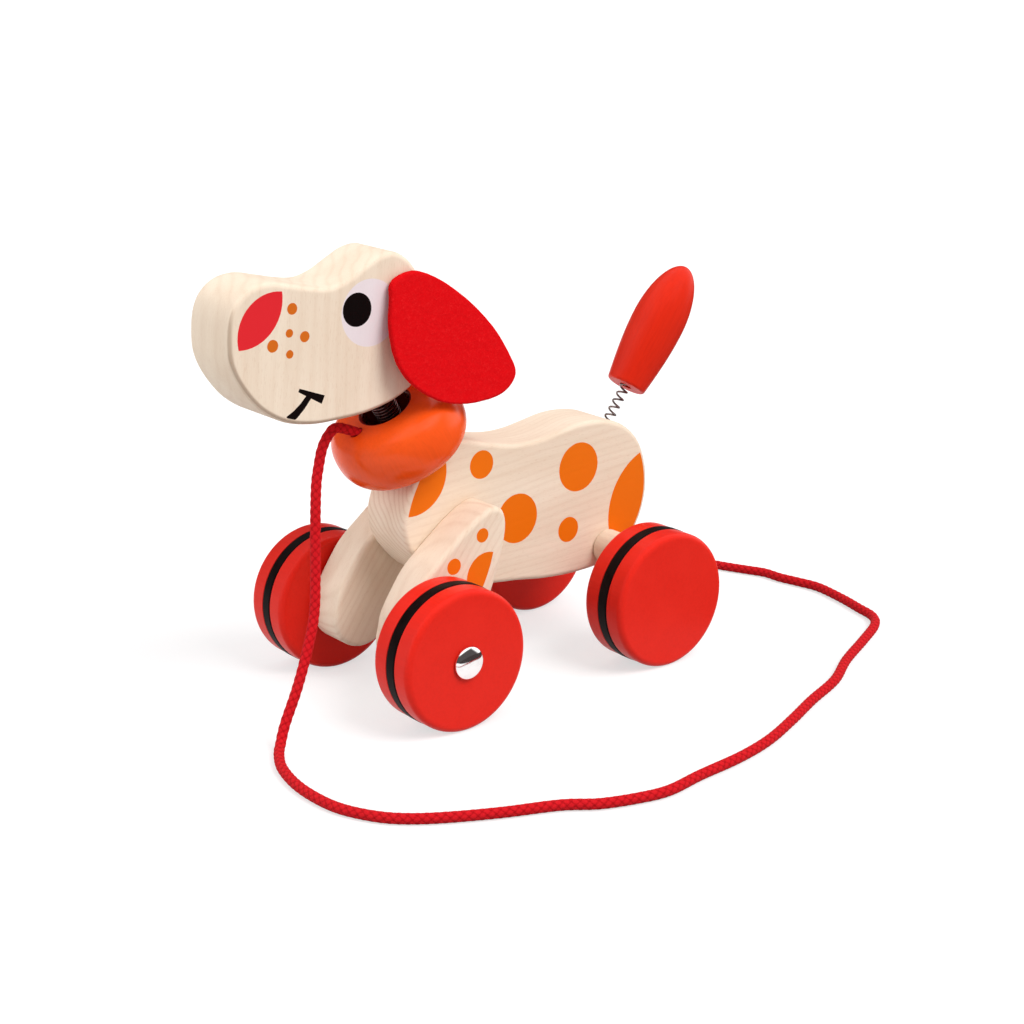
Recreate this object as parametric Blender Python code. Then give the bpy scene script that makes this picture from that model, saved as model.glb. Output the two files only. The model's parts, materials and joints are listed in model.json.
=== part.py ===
"""Wooden pull-along dog: two boards for body and head, four wheels, sprung head and tail, a pull cord.

Sizes are in millimetres, and the mesh builders write metres. The dog frame has its zero at the front
axles: X runs forward to the nose, Y to the dog's left and Z up. Each front wheel turns on a steel pin in
its leg. The rear wheels are glued to a wooden axle that sits off their centres, so the back of the dog
rises and falls as it rolls, and that shakes the head and the tail on their springs.
"""

import math

import bpy
import numpy as np
from mathutils import Vector

MM = 0.001  # metres in a millimetre
GAP = 0.3  # glued or running clearance between two pieces
PLAY = 1.35  # side room of a front wheel beside its leg

# wheels
WHEEL_RADIUS = 30.0
WHEEL_WIDTH = 23.7
WHEEL_EDGE = 2.6  # rounding of the rims
WHEELBASE = 111.5
BAND_WIDTH = 5.4
BAND_DEPTH = 2.8  # of the groove that holds the rubber band
BAND_PROUD = 0.3  # of the band over the tread
REAR_THROW = 14.1  # height of the rear axle over the centres of its wheels

# axles
FRONT_PIN_RADIUS = 3.0
FRONT_PIN_IN_LEG = 14.0
CAP_RADIUS = 7.0
CAP_HEIGHT = 3.0
CAP_SKIRT = 0.5  # straight rim under the dome
CAP_GRIP = 1.5  # depth of a cap's hole
REAR_AXLE_RADIUS = 4.0
REAR_AXLE_IN_WHEEL = 14.0
SPACER_RADIUS = 7.8
SPACER_EDGE = 1.0

# boards
BODY_THICKNESS = 27.2
HEAD_THICKNESS = 29.0
LEG_THICKNESS = 18.5
BOARD_EDGE = 2.2  # rounding of the boards' edges
ROD_EDGE = 0.5  # rounding of the ends of dowels, axles and plugs
DOWEL_RADIUS = 4.0
DOWEL_IN_LEG = 10.0
UPPER_DOWEL = (-31.0, 40.0)
LOWER_DOWEL = (-18.0, 27.0)
LEG_END_RADIUS = 14.4  # round end of a leg
LEG_END_CENTRE = (1.0, 0.0)  # from the front pin
LEG_END_ARC = (-160.0, 20.0)  # degrees from forward

# neck, along an axis that leans forward
NECK_LEAN = 30.0  # degrees from upright
NECK_FOOT = (-16.2, 70.5)  # middle of the body's neck face
COLLAR_RADIUS = 28.9
COLLAR_HEIGHT = 26.6
COLLAR_BULGE = 2.3  # exponent of its round outside
COLLAR_ROUND = 12.6  # depth of the round outside over the flat faces' edge
COLLAR_BORE_RADIUS = 10.5
COLLAR_RIM = 1.0  # rounding of the bore's mouths
NECK_REACH = (8.6, 13.7)  # of the body's neck face, before and behind the axis
NECK_SOCKET_DEPTH = 11.0
HEAD_CLEARANCE = 7.5  # of bare spring between the collar and the head
NECK_SPRING_RADIUS = 5.5  # over the wire
NECK_WIRE = 0.9
NECK_PITCH = 1.45
PLUG_LENGTH = 10.0

# tail, along an axis that leans back
TAIL_LEAN = 36.0
TAIL_ROOT = (-12.5, 52.5)  # where its axis leaves the body, from the rear axle
TAIL_FREE_LENGTH = 18.0
TAIL_SOCKET_DEPTH = 10.0
TAIL_SPRING_RADIUS = 2.5
TAIL_WIRE = 0.9
TAIL_PITCH = 3.8
TAIL_LENGTH = 60.9
TAIL_BASE_RADIUS = 8.9
TAIL_RADIUS = 12.0
TAIL_WIDEST = 32.6  # distance of its widest place from its base
TAIL_BULGE = 1.95  # exponent of its round tip

# ears
EAR_THICKNESS = 3.2
EAR_EDGE = 0.9  # rounding of the felt's edges
EAR_SPLAY = 10.0  # degrees that an ear stands off the head
EAR_TOP = 51.7  # height of an ear's glued end over the head's socket

# cord
CORD_DIAMETER = 4.4
CORD_HOLE_PLAY = 0.4  # round the cord
CORD_HOLE_DEPTH = 8.0
CORD_HOLE_RISE = 30.0  # degrees that the cord's hole climbs forward
CORD_REACH = 16.6  # of the hole's mouth from the neck's axis
CORD_DEPTH = 0.1  # of the mouth under the collar's top
CORD_POINT_STEP = 11.0
FLOOR_GAP = 0.1  # under the cord and its knot
KNOT_RADIUS = 4.7
KNOT_LENGTH = 10.5
KNOT_STUB = 7.0  # loose end past the knot
KNOT_LEAD = 9.0  # straight cord before the knot

ROUND_STEPS = 32  # sides of a round piece
OUTLINE_STEPS = 2  # sides from one point of an outline to the next
CURL_POINTS = 8  # of a spring
OVERSHOOT = 5.0  # of a hole's cutter past the surface that it enters

# Outlines as X and Z, each read as a smooth curve. The body's front and the legs start from the front
# pins, the body's rear from the rear axle, and the head and the ears from the mouth of the head's socket.
BODY_CHEST = [
    (-3.9, 56.5), (-1.2, 46.5), (-2.8, 37.5), (-8.2, 28.5), (-17.6, 19.4), (-31.0, 13.6), (-47.0, 10.5),
]
BODY_REAR = [
    (49.5, -5.6), (33.5, -8.1), (16.5, -9.2), (0.0, -8.0), (-12.3, -2.6), (-20.0, 7.5), (-23.9, 17.7),
    (-24.7, 28.0), (-22.9, 37.9), (-19.0, 46.0), TAIL_ROOT, (-3.8, 56.9), (6.1, 58.9), (16.5, 59.1),
    (27.5, 57.4), (38.5, 55.9),
]
BODY_SADDLE = [(-62.0, 70.2), (-51.0, 72.2), (-40.0, 75.3), (-31.5, 77.4)]
HEAD_OUTLINE = [
    (77.0, 33.7), (75.8, 42.8), (72.4, 49.3), (65.9, 53.8), (57.5, 55.0), (48.5, 53.1), (39.0, 50.8),
    (30.5, 49.7), (22.4, 51.6), (13.9, 55.8), (7.0, 58.9), (0.0, 59.7), (-5.0, 57.5), (-9.5, 53.2),
    (-13.5, 46.2), (-16.5, 36.7), (-17.5, 26.7), (-16.0, 16.7), (-12.5, 9.2), (-7.3, 4.0), (2.0, -0.4),
    (15.0, -3.2), (28.0, -3.9), (41.2, -3.5), (53.6, -0.4), (64.4, 6.5), (72.4, 16.5), (76.4, 25.6),
]
LEG_FRONT = [
    (12.7, 12.0), (7.6, 20.5), (0.5, 29.7), (-8.9, 37.4), (-18.9, 44.9), (-27.7, 50.1),
]
LEG_TOP = [(-34.2, 52.0), (-38.9, 49.8), (-40.5, 43.8)]
LEG_REAR = [(-39.3, 35.5), (-35.9, 24.5), (-31.2, 13.0), (-24.0, 1.0)]
EAR_OUTLINE = [
    (5.4, 41.9), (4.6, 47.3), (1.1, 50.3), (-5.5, 51.8), (-11.5, 50.9), (-20.3, 46.5), (-29.5, 39.6),
    (-37.6, 31.9), (-44.7, 22.9), (-49.9, 13.0), (-52.3, 5.7), (-49.2, 0.6), (-42.6, -2.7), (-32.6, -3.9),
    (-22.1, -3.3), (-12.7, -0.7), (-4.4, 4.2), (2.4, 10.8), (6.4, 19.4), (7.3, 31.2),
]
# The cord from the collar down, then along the floor: X and Y from the front pins, Z from the floor.
CORD_DROP = [
    (20.4, -0.4, 119.0), (24.6, 0.0, 117.4), (28.6, 0.6, 112.4), (31.4, 1.5, 105.0), (33.9, 3.0, 97.0),
    (37.4, 6.6, 79.0), (40.1, 9.8, 63.5), (43.7, 13.3, 48.0), (49.8, 16.6, 35.0), (57.3, 20.0, 22.0),
    (65.3, 22.9, 10.0), (70.0, 26.4, 4.0),
]
CORD_FLOOR = [
    (74.6, 32.2), (80.4, 43.6), (84.2, 59.0), (84.9, 74.0), (83.1, 87.0), (77.8, 99.0), (70.8, 108.0),
    (59.1, 116.8), (39.4, 127.4), (18.3, 136.6), (6.0, 145.1), (-8.9, 150.7), (-22.0, 153.0),
    (-40.0, 150.6), (-63.5, 148.5), (-84.0, 144.1), (-105.5, 136.0), (-127.1, 126.8), (-150.6, 117.8),
    (-171.5, 105.3), (-195.4, 93.7), (-213.2, 84.4), (-221.2, 76.0), (-224.6, 64.5), (-228.3, 50.6),
    (-231.3, 33.0), (-229.5, 21.5), (-227.2, 11.0), (-226.6, 1.5), (-223.0, -7.0), (-218.2, -18.0),
    (-211.5, -36.0),
]
KNOT_PLACE = (-202.6, -69.0)

WOOD = ((0.80, 0.66, 0.50), 0.55, 0.0)
DOWEL_WOOD = ((0.74, 0.58, 0.40), 0.6, 0.0)
WHEEL_RED = ((0.79, 0.025, 0.014), 0.38, 0.0)
TAIL_RED = ((0.76, 0.022, 0.012), 0.25, 0.0)
COLLAR_ORANGE = ((0.84, 0.10, 0.016), 0.25, 0.0)
RUBBER = ((0.012, 0.010, 0.010), 0.55, 0.0)
STEEL = ((0.60, 0.60, 0.60), 0.3, 1.0)
CHROME = ((0.85, 0.85, 0.86), 0.08, 1.0)
FELT = ((0.62, 0.004, 0.012), 0.95, 0.0)
CORD_RED = ((0.58, 0.006, 0.016), 0.85, 0.0)


def lean_axis(degrees):
    """Unit vector in the XZ plane, that many degrees forward of upright."""
    angle = math.radians(degrees)
    return np.array([math.sin(angle), 0.0, math.cos(angle)])


NECK_AXIS = lean_axis(NECK_LEAN)
NECK_ACROSS = lean_axis(NECK_LEAN + 90.0)
TAIL_AXIS = lean_axis(-TAIL_LEAN)
CORD_AXIS = lean_axis(90.0 - CORD_HOLE_RISE)
SIDE = np.array([0.0, 1.0, 0.0])


def in_side_view(point):
    """An X and Z pair as a point in the dog's middle plane."""
    return np.array([point[0], 0.0, point[1]])


def smooth(points, steps, closed):
    """Catmull-Rom curve through the points, with that many steps from each to the next."""
    points = np.array(points, float)
    if closed:
        padded = np.vstack([points[-1:], points, points[:2]])
    else:
        padded = np.vstack([2 * points[0] - points[1], points, 2 * points[-1] - points[-2]])
    share = np.linspace(0.0, 1.0, steps, endpoint=False)[:, None]
    curve = []
    for before, start, end, after in zip(padded, padded[1:], padded[2:], padded[3:]):
        curve.append(0.5 * (
            2 * start + (end - before) * share
            + (2 * before - 5 * start + 4 * end - after) * share ** 2
            + (3 * start - before - 3 * end + after) * share ** 3
        ))
    if not closed:
        curve.append(points[-1:])
    return np.vstack(curve)


def arc(centre, radius, start, end, steps):
    """Points of an arc in the XZ plane, from one angle to another in degrees."""
    angles = np.radians(np.linspace(start, end, steps))
    return [(centre[0] + radius * math.cos(a), centre[1] + radius * math.sin(a)) for a in angles]


def evenly(curve, step):
    """The curve read again at even steps of about the given length."""
    lengths = np.concatenate([[0.0], np.cumsum(np.linalg.norm(np.diff(curve, axis=0), axis=1))])
    places = np.linspace(0.0, lengths[-1], max(2, round(lengths[-1] / step) + 1))
    return np.stack([np.interp(places, lengths, curve[:, k]) for k in range(3)], axis=1)


# The axles, the neck and the tail. The pieces that meet there share these places.
REAR_AXLE = np.array([-WHEELBASE, 0.0, REAR_THROW])
NECK_FREE_LENGTH = GAP + COLLAR_HEIGHT + HEAD_CLEARANCE
NECK_BASE = in_side_view(NECK_FOOT)
NECK_TOP = NECK_BASE + NECK_FREE_LENGTH * NECK_AXIS
COLLAR_CENTRE = NECK_BASE + (GAP + COLLAR_HEIGHT / 2) * NECK_AXIS
CORD_MOUTH = COLLAR_CENTRE + CORD_REACH * NECK_ACROSS + (COLLAR_HEIGHT / 2 - CORD_DEPTH) * NECK_AXIS
TAIL_FOOT = REAR_AXLE + in_side_view(TAIL_ROOT)
TAIL_BASE = TAIL_FOOT + TAIL_FREE_LENGTH * TAIL_AXIS
LEG_BACK = BODY_THICKNESS / 2 + GAP
LEG_FACE = LEG_BACK + LEG_THICKNESS
WHEEL_BACK = LEG_FACE + PLAY
WHEEL_FACE = WHEEL_BACK + WHEEL_WIDTH


def tail_profile():
    """Radius and height of the tail's outside, from the rim of its base to its tip."""
    lower = [(TAIL_BASE_RADIUS - 0.8, 0.0)]
    for share in np.linspace(0.05, 1.0, 6):
        swell = math.sin(math.pi / 2 * share)
        lower.append((TAIL_BASE_RADIUS + (TAIL_RADIUS - TAIL_BASE_RADIUS) * swell, TAIL_WIDEST * share))
    upper = []
    for angle in np.linspace(0.0, math.pi / 2, 9)[1:-1]:
        across = TAIL_RADIUS * math.cos(angle) ** (2 / TAIL_BULGE)
        along = (TAIL_LENGTH - TAIL_WIDEST) * math.sin(angle) ** (2 / TAIL_BULGE)
        upper.append((across, TAIL_WIDEST + along))
    return lower + upper + [(0.0, TAIL_LENGTH)]


def rear_reach():
    """How far behind the front pins the tail's tip comes."""
    down = math.radians(TAIL_LEAN)
    return max(
        -TAIL_BASE[0] + along * math.sin(down) + across * math.cos(down) for across, along in tail_profile()
    )


HEAD_CURVE = smooth(HEAD_OUTLINE, OUTLINE_STEPS, closed=True) + NECK_TOP[[0, 2]]
DOG_MIDDLE = (HEAD_CURVE[:, 0].max() - rear_reach()) / 2  # halfway from the nose to the tail's tip
AXLE_HEIGHT = (WHEEL_RADIUS + BAND_PROUD) * math.cos(math.pi / ROUND_STEPS)  # each band rests on a flat
TO_WORLD = np.array([-DOG_MIDDLE, 0.0, AXLE_HEIGHT])


def material(name, finish):
    """A Principled material of one colour, roughness and metallic value."""
    colour, roughness, metallic = finish
    made = bpy.data.materials.new(name)
    made.use_nodes = True
    shader = made.node_tree.nodes["Principled BSDF"]
    shader.inputs["Base Color"].default_value = (*colour, 1.0)
    shader.inputs["Roughness"].default_value = roughness
    shader.inputs["Metallic"].default_value = metallic
    made.diffuse_color = (*colour, 1.0)
    return made


def solid(name, points, faces, finish, origin):
    """An object with its origin on the given place, from points in the dog frame."""
    mesh = bpy.data.meshes.new(name)
    origin = np.array(origin, float)
    local = (np.array(points, float) - origin) * MM
    mesh.from_pydata(local.tolist(), [], [list(map(int, face)) for face in faces])
    mesh.validate()
    made = bpy.data.objects.new(name, mesh)
    bpy.context.scene.collection.objects.link(made)
    made.location = Vector((origin + TO_WORLD) * MM)
    mesh.shade_smooth()
    mesh.set_sharp_from_angle(angle=math.radians(35.0))
    if finish:
        mesh.materials.append(material(name, finish))
    return made


def turned(name, profile, centre, axis, finish, origin=None, steps=ROUND_STEPS, ring=False):
    """A turned piece. The profile is radius and height along the axis, up its outside.

    A ring's profile closes on itself; any other starts and ends on the axis. A crosswise piece has one
    of its flats facing down."""
    axis = np.array(axis, float)
    across = np.cross(SIDE if abs(axis[1]) < 0.5 else np.array([0.0, 0.0, 1.0]), axis)
    across /= np.linalg.norm(across)
    other = np.cross(axis, across)
    turn = np.linspace(0.0, 2 * math.pi, steps, endpoint=False) + math.pi / steps
    spokes = np.cos(turn)[:, None] * across + np.sin(turn)[:, None] * other
    centre = np.array(centre, float)
    poles = [] if ring else [profile[0], profile[-1]]
    rows = profile if ring else profile[1:-1]
    points = [centre + radius * spokes + height * axis for radius, height in rows]
    points = list(np.vstack(points))
    faces = []
    for row in range(len(rows) if ring else len(rows) - 1):
        here, above = row * steps, (row + 1) % len(rows) * steps
        for step in range(steps):
            after = (step + 1) % steps
            faces.append((here + step, here + after, above + after, above + step))
    if poles:
        last = (len(rows) - 1) * steps
        points += [centre + poles[0][1] * axis, centre + poles[1][1] * axis]
        for step in range(steps):
            after = (step + 1) % steps
            faces.append((len(points) - 2, after, step))
            faces.append((len(points) - 1, last + step, last + after))
    return solid(name, points, faces, finish, centre if origin is None else origin)


def rounded_disc(radius, low, high, edge):
    """Profile of a disc or rod whose rims are rounded."""
    middle = radius - edge
    turns = (0.0, math.pi / 4, math.pi / 2)
    rims = [(middle + edge * math.sin(a), low + edge - edge * math.cos(a)) for a in turns]
    tops = [(middle + edge * math.cos(a), high - edge + edge * math.sin(a)) for a in turns]
    return [(0.0, low)] + rims + tops + [(0.0, high)]


def ring_profile(inner, outer, low, high, edge):
    """Profile of a ring whose outer rims are rounded."""
    disc = rounded_disc(outer, low, high, edge)[1:-1]
    return disc + [(inner, high), (inner, low)]


def board(name, outline, low, high, finish, origin, edge):
    """A board sawn along the outline, from one Y to another, with its edges rounded by a Bevel."""
    outline = np.array(outline, float)
    count = len(outline)
    area = np.sum(outline[:, 0] * np.roll(outline[:, 1], -1) - np.roll(outline[:, 0], -1) * outline[:, 1])
    if area < 0:
        outline = outline[::-1]
    points = [(x, y, z) for y in (low, high) for x, z in outline]
    faces = [tuple(range(count)), tuple(range(2 * count - 1, count - 1, -1))]
    for k in range(count):
        after = (k + 1) % count
        faces.append((k, k + count, after + count, after))
    made = solid(name, points, faces, finish, origin)
    bevel = made.modifiers.new("rounded edges", "BEVEL")
    bevel.width = edge * MM
    bevel.segments = 2
    bevel.limit_method = "ANGLE"
    bevel.angle_limit = math.radians(40.0)
    return made


def bored(target, name, start, axis, radius, depth, steps=20):
    """A round hole from a start on or outside the surface, with its cutter kept as a hidden guide."""
    axis = np.array(axis, float)
    profile = [(0.0, 0.0), (radius, 0.0), (radius, depth), (0.0, depth)]
    cutter = turned(name, profile, start, axis, None, steps=steps)
    cutter.hide_render = True
    cutter.display_type = "WIRE"
    cut = target.modifiers.new(name, "BOOLEAN")
    cut.operation = "DIFFERENCE"
    cut.solver = "EXACT"
    cut.object = cutter
    return cutter


def tube(name, points, radius, resolution, finish, origin):
    """A round tube along the points, as a curve with filled caps."""
    origin = np.array(origin, float)
    curve = bpy.data.curves.new(name, "CURVE")
    curve.dimensions = "3D"
    curve.bevel_depth = radius * MM
    curve.bevel_resolution = resolution
    curve.use_fill_caps = True
    line = curve.splines.new("POLY")
    line.points.add(len(points) - 1)
    for place, point in zip(line.points, points):
        place.co = (*((np.array(point) - origin) * MM), 1.0)
    curve.materials.append(material(name, finish))
    made = bpy.data.objects.new(name, curve)
    made.location = Vector((origin + TO_WORLD) * MM)
    bpy.context.scene.collection.objects.link(made)
    return made


def coil(start, axis, length, radius, wire, pitch):
    """Points of a spring's wire. Each end runs straight along the axis for one wire diameter."""
    across = np.cross(SIDE, axis)
    turns = (length - 2 * wire) / pitch
    steps = int(round(turns * CURL_POINTS))
    angle = np.linspace(0.0, 2 * math.pi * turns, steps + 1)
    height = np.linspace(wire, length - wire, steps + 1)
    spokes = np.cos(angle)[:, None] * across + np.sin(angle)[:, None] * SIDE
    winding = start + (radius - wire / 2) * spokes + height[:, None] * axis
    first = winding[0] - wire * axis
    last = winding[-1] + wire * axis
    return np.vstack([first, winding, last])


def least_gap(points, wire):
    """Least clear distance of a coil to itself, measured on its points at least half a turn apart."""
    distance = np.linalg.norm(points[:, None] - points[None], axis=2)
    index = np.arange(len(points))
    apart = np.abs(index[:, None] - index[None]) > CURL_POINTS // 2
    return distance[apart].min() - wire


def make_wheel(name, side, axle):
    """A wheel with a groove for its band. A front wheel is bored through, a rear one is blind."""
    low, high = WHEEL_BACK, WHEEL_FACE
    groove = ((low + high - BAND_WIDTH) / 2 - GAP / 2, (low + high + BAND_WIDTH) / 2 + GAP / 2)
    floor = WHEEL_RADIUS - BAND_DEPTH
    disc = rounded_disc(WHEEL_RADIUS, low, high, WHEEL_EDGE)
    half = len(disc) // 2
    lips = [(WHEEL_RADIUS, groove[0]), (floor, groove[0]), (floor, groove[1]), (WHEEL_RADIUS, groove[1])]
    profile = disc[:half] + lips + disc[half:]
    centre = np.array([axle[0], 0.0, axle[2]])
    if name.startswith("wheel_front"):
        bore = FRONT_PIN_RADIUS + GAP
        profile = profile[1:-1] + [(bore, high), (bore, low)]
        return turned(name, profile, centre, side * SIDE, WHEEL_RED, axle, ring=True)
    wheel = turned(name, profile, centre - [0.0, 0.0, REAR_THROW], side * SIDE, WHEEL_RED, axle)
    mouth = centre + side * (WHEEL_BACK - OVERSHOOT) * SIDE
    depth = OVERSHOOT + REAR_AXLE_IN_WHEEL + GAP
    bored(wheel, name + "_bore", mouth, side * SIDE, REAR_AXLE_RADIUS + GAP, depth)
    return wheel


def make_band(name, side, centre, axle):
    """A flat rubber ring with soft shoulders, stretched into the wheel's groove."""
    middle = (WHEEL_BACK + WHEEL_FACE) / 2
    inner, outer = WHEEL_RADIUS - BAND_DEPTH + GAP, WHEEL_RADIUS + BAND_PROUD
    low, high, shoulder = middle - BAND_WIDTH / 2, middle + BAND_WIDTH / 2, BAND_PROUD
    profile = [
        (inner, low), (outer - shoulder, low), (outer, low + 2 * shoulder), (outer, high - 2 * shoulder),
        (outer - shoulder, high), (inner, high),
    ]
    return turned(name, profile, centre, side * SIDE, RUBBER, axle, ring=True)


def make_running_gear():
    """The front pins and the rear axle with their wheels, bands, caps and spacers."""
    front = np.zeros(3)
    reach = WHEEL_BACK + REAR_AXLE_IN_WHEEL
    rod = rounded_disc(REAR_AXLE_RADIUS, -reach, reach, ROD_EDGE)
    turned("rear_axle", rod, REAR_AXLE, SIDE, DOWEL_WOOD, steps=20)
    for side, word in ((1, "left"), (-1, "right")):
        make_wheel("wheel_front_" + word, side, front)
        make_wheel("wheel_rear_" + word, side, REAR_AXLE)
        make_band("band_front_" + word, side, front, front)
        make_band("band_rear_" + word, side, REAR_AXLE - [0.0, 0.0, REAR_THROW], REAR_AXLE)
        foot = WHEEL_FACE + GAP
        bore, roof = FRONT_PIN_RADIUS + GAP, foot + CAP_GRIP
        pin = rounded_disc(FRONT_PIN_RADIUS, LEG_FACE - FRONT_PIN_IN_LEG, roof - GAP, ROD_EDGE)
        turned("front_pin_" + word, pin, front, side * SIDE, STEEL, steps=20)
        dome = [
            (CAP_RADIUS * math.cos(a), foot + CAP_SKIRT + (CAP_HEIGHT - CAP_SKIRT) * math.sin(a))
            for a in np.linspace(0.0, math.pi / 2, 6)[:-1]
        ]
        inside = [(0.0, roof), (bore, roof), (bore, foot), (CAP_RADIUS, foot)]
        cap = inside + dome + [(0.0, foot + CAP_HEIGHT)]
        turned("axle_cap_" + word, cap, front, side * SIDE, CHROME, steps=20)
        low, high = LEG_BACK, WHEEL_BACK - GAP
        spacer = ring_profile(REAR_AXLE_RADIUS + GAP, SPACER_RADIUS, low, high, SPACER_EDGE)
        turned("rear_spacer_" + word, spacer, REAR_AXLE, side * SIDE, DOWEL_WOOD, ring=True, steps=20)


def make_body():
    """The body board, with its neck face cut square to the neck and its holes bored."""
    before, behind = NECK_REACH
    front_corner = NECK_BASE + before * NECK_ACROSS
    back_corner = NECK_BASE - behind * NECK_ACROSS
    rear = [REAR_AXLE[[0, 2]] + place for place in BODY_REAR]
    route = [front_corner[[0, 2]], *BODY_CHEST, *rear, *BODY_SADDLE, back_corner[[0, 2]]]
    half = BODY_THICKNESS / 2
    outline = smooth(route, OUTLINE_STEPS, closed=False)
    body = board("body_block", outline, -half, half, WOOD, NECK_BASE, BOARD_EDGE)
    mouth, depth = NECK_BASE + OVERSHOOT * NECK_AXIS, NECK_SOCKET_DEPTH + OVERSHOOT
    bored(body, "neck_socket", mouth, -NECK_AXIS, NECK_SPRING_RADIUS + GAP, depth)
    mouth, depth = TAIL_FOOT + OVERSHOOT * TAIL_AXIS, TAIL_SOCKET_DEPTH + OVERSHOOT
    bored(body, "tail_socket", mouth, -TAIL_AXIS, TAIL_SPRING_RADIUS + GAP, depth, steps=16)
    through = BODY_THICKNESS + 2 * OVERSHOOT
    start = REAR_AXLE - through / 2 * SIDE
    bored(body, "rear_axle_bore", start, SIDE, REAR_AXLE_RADIUS + GAP, through)
    for word, place in (("upper", UPPER_DOWEL), ("lower", LOWER_DOWEL)):
        start = in_side_view(place) - through / 2 * SIDE
        bored(body, word + "_dowel_bore", start, SIDE, DOWEL_RADIUS + GAP, through)


def make_legs():
    """The two front legs, round at their pins, and the dowels that hold them to the body."""
    end = arc(LEG_END_CENTRE, LEG_END_RADIUS, *LEG_END_ARC, 12)
    upper = smooth([end[-1], *LEG_FRONT, *LEG_TOP, *LEG_REAR, end[0]], OUTLINE_STEPS, closed=False)
    outline = np.vstack([end, upper[1:-1]])
    for side, word in ((1, "left"), (-1, "right")):
        low, high = sorted((side * LEG_BACK, side * LEG_FACE))
        leg = board("front_leg_" + word, outline, low, high, WOOD, (0.0, 0.0, 0.0), BOARD_EDGE)
        mouth, depth = side * (LEG_FACE + OVERSHOOT) * SIDE, OVERSHOOT + FRONT_PIN_IN_LEG + GAP
        bored(leg, "leg_pin_hole_" + word, mouth, -side * SIDE, FRONT_PIN_RADIUS + GAP, depth)
        start = side * (LEG_BACK - OVERSHOOT) * SIDE
        for height, place in (("upper", UPPER_DOWEL), ("lower", LOWER_DOWEL)):
            mouth, depth = in_side_view(place) + start, OVERSHOOT + DOWEL_IN_LEG + GAP
            bored(leg, f"leg_{height}_hole_{word}", mouth, side * SIDE, DOWEL_RADIUS + GAP, depth)
    reach = LEG_BACK + DOWEL_IN_LEG
    rod = rounded_disc(DOWEL_RADIUS, -reach, reach, ROD_EDGE)
    for height, place in (("upper", UPPER_DOWEL), ("lower", LOWER_DOWEL)):
        turned("shoulder_dowel_" + height, rod, in_side_view(place), SIDE, DOWEL_WOOD, steps=20)


def make_collar():
    """The turned bead round the neck, with a blind hole in front that holds the cord's end."""
    half = COLLAR_HEIGHT / 2
    core = COLLAR_RADIUS - COLLAR_ROUND
    outside = []
    for angle in np.linspace(-math.pi / 2, math.pi / 2, 11):
        across = abs(math.cos(angle)) ** (2 / COLLAR_BULGE)
        along = math.copysign(abs(math.sin(angle)) ** (2 / COLLAR_BULGE), angle)
        outside.append((core + COLLAR_ROUND * across, half * along))
    lower = [(COLLAR_BORE_RADIUS, COLLAR_RIM - half), (COLLAR_BORE_RADIUS + COLLAR_RIM, -half)]
    upper = [(radius, -height) for radius, height in reversed(lower)]
    profile, place = outside + upper + lower, COLLAR_CENTRE
    collar = turned("collar", profile, place, NECK_AXIS, COLLAR_ORANGE, NECK_BASE, steps=36, ring=True)
    mouth, depth = CORD_MOUTH + OVERSHOOT * CORD_AXIS, CORD_HOLE_DEPTH + OVERSHOOT
    bored(collar, "cord_hole", mouth, -CORD_AXIS, CORD_DIAMETER / 2 + CORD_HOLE_PLAY, depth, steps=16)


def make_head():
    """The head board with the socket of the neck spring, the spring and the plugs in its ends."""
    half = HEAD_THICKNESS / 2
    head = board("head_block", HEAD_CURVE, -half, half, WOOD, NECK_TOP, BOARD_EDGE)
    mouth, depth = NECK_TOP - OVERSHOOT * NECK_AXIS, NECK_SOCKET_DEPTH + OVERSHOOT
    bored(head, "head_socket", mouth, NECK_AXIS, NECK_SPRING_RADIUS + GAP, depth)
    seat = NECK_SOCKET_DEPTH - GAP
    length = NECK_FREE_LENGTH + 2 * seat
    foot = NECK_BASE - seat * NECK_AXIS
    wire = coil(foot, NECK_AXIS, length, NECK_SPRING_RADIUS, NECK_WIRE, NECK_PITCH)
    tube("neck_spring", wire, NECK_WIRE / 2, 1, STEEL, NECK_BASE)
    print("neck spring: least gap to itself", round(least_gap(wire, NECK_WIRE), 3), "mm")
    bore = (NECK_SPRING_RADIUS - NECK_WIRE / 2) * math.cos(math.pi / CURL_POINTS) - NECK_WIRE / 2
    plug = rounded_disc(bore - GAP, 0.0, PLUG_LENGTH, ROD_EDGE)
    turned("neck_plug_lower", plug, foot, NECK_AXIS, DOWEL_WOOD, steps=20)
    roof = foot + (length - PLUG_LENGTH) * NECK_AXIS
    turned("neck_plug_upper", plug, roof, NECK_AXIS, DOWEL_WOOD, steps=20)


def make_tail():
    """The tail, hollow at its base for the spring that joins it to the body."""
    profile = [(0.0, 0.0)] + tail_profile()
    tail = turned("tail", profile, TAIL_BASE, TAIL_AXIS, TAIL_RED, steps=28)
    mouth, depth = TAIL_BASE - OVERSHOOT * TAIL_AXIS, TAIL_SOCKET_DEPTH + OVERSHOOT
    bored(tail, "tail_hole", mouth, TAIL_AXIS, TAIL_SPRING_RADIUS + GAP, depth, steps=16)
    seat = TAIL_SOCKET_DEPTH - GAP
    length = TAIL_FREE_LENGTH + 2 * seat
    foot = TAIL_FOOT - seat * TAIL_AXIS
    wire = coil(foot, TAIL_AXIS, length, TAIL_SPRING_RADIUS, TAIL_WIRE, TAIL_PITCH)
    tube("tail_spring", wire, TAIL_WIRE / 2, 1, STEEL, TAIL_FOOT)
    print("tail spring: least gap to itself", round(least_gap(wire, TAIL_WIRE), 3), "mm")


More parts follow.
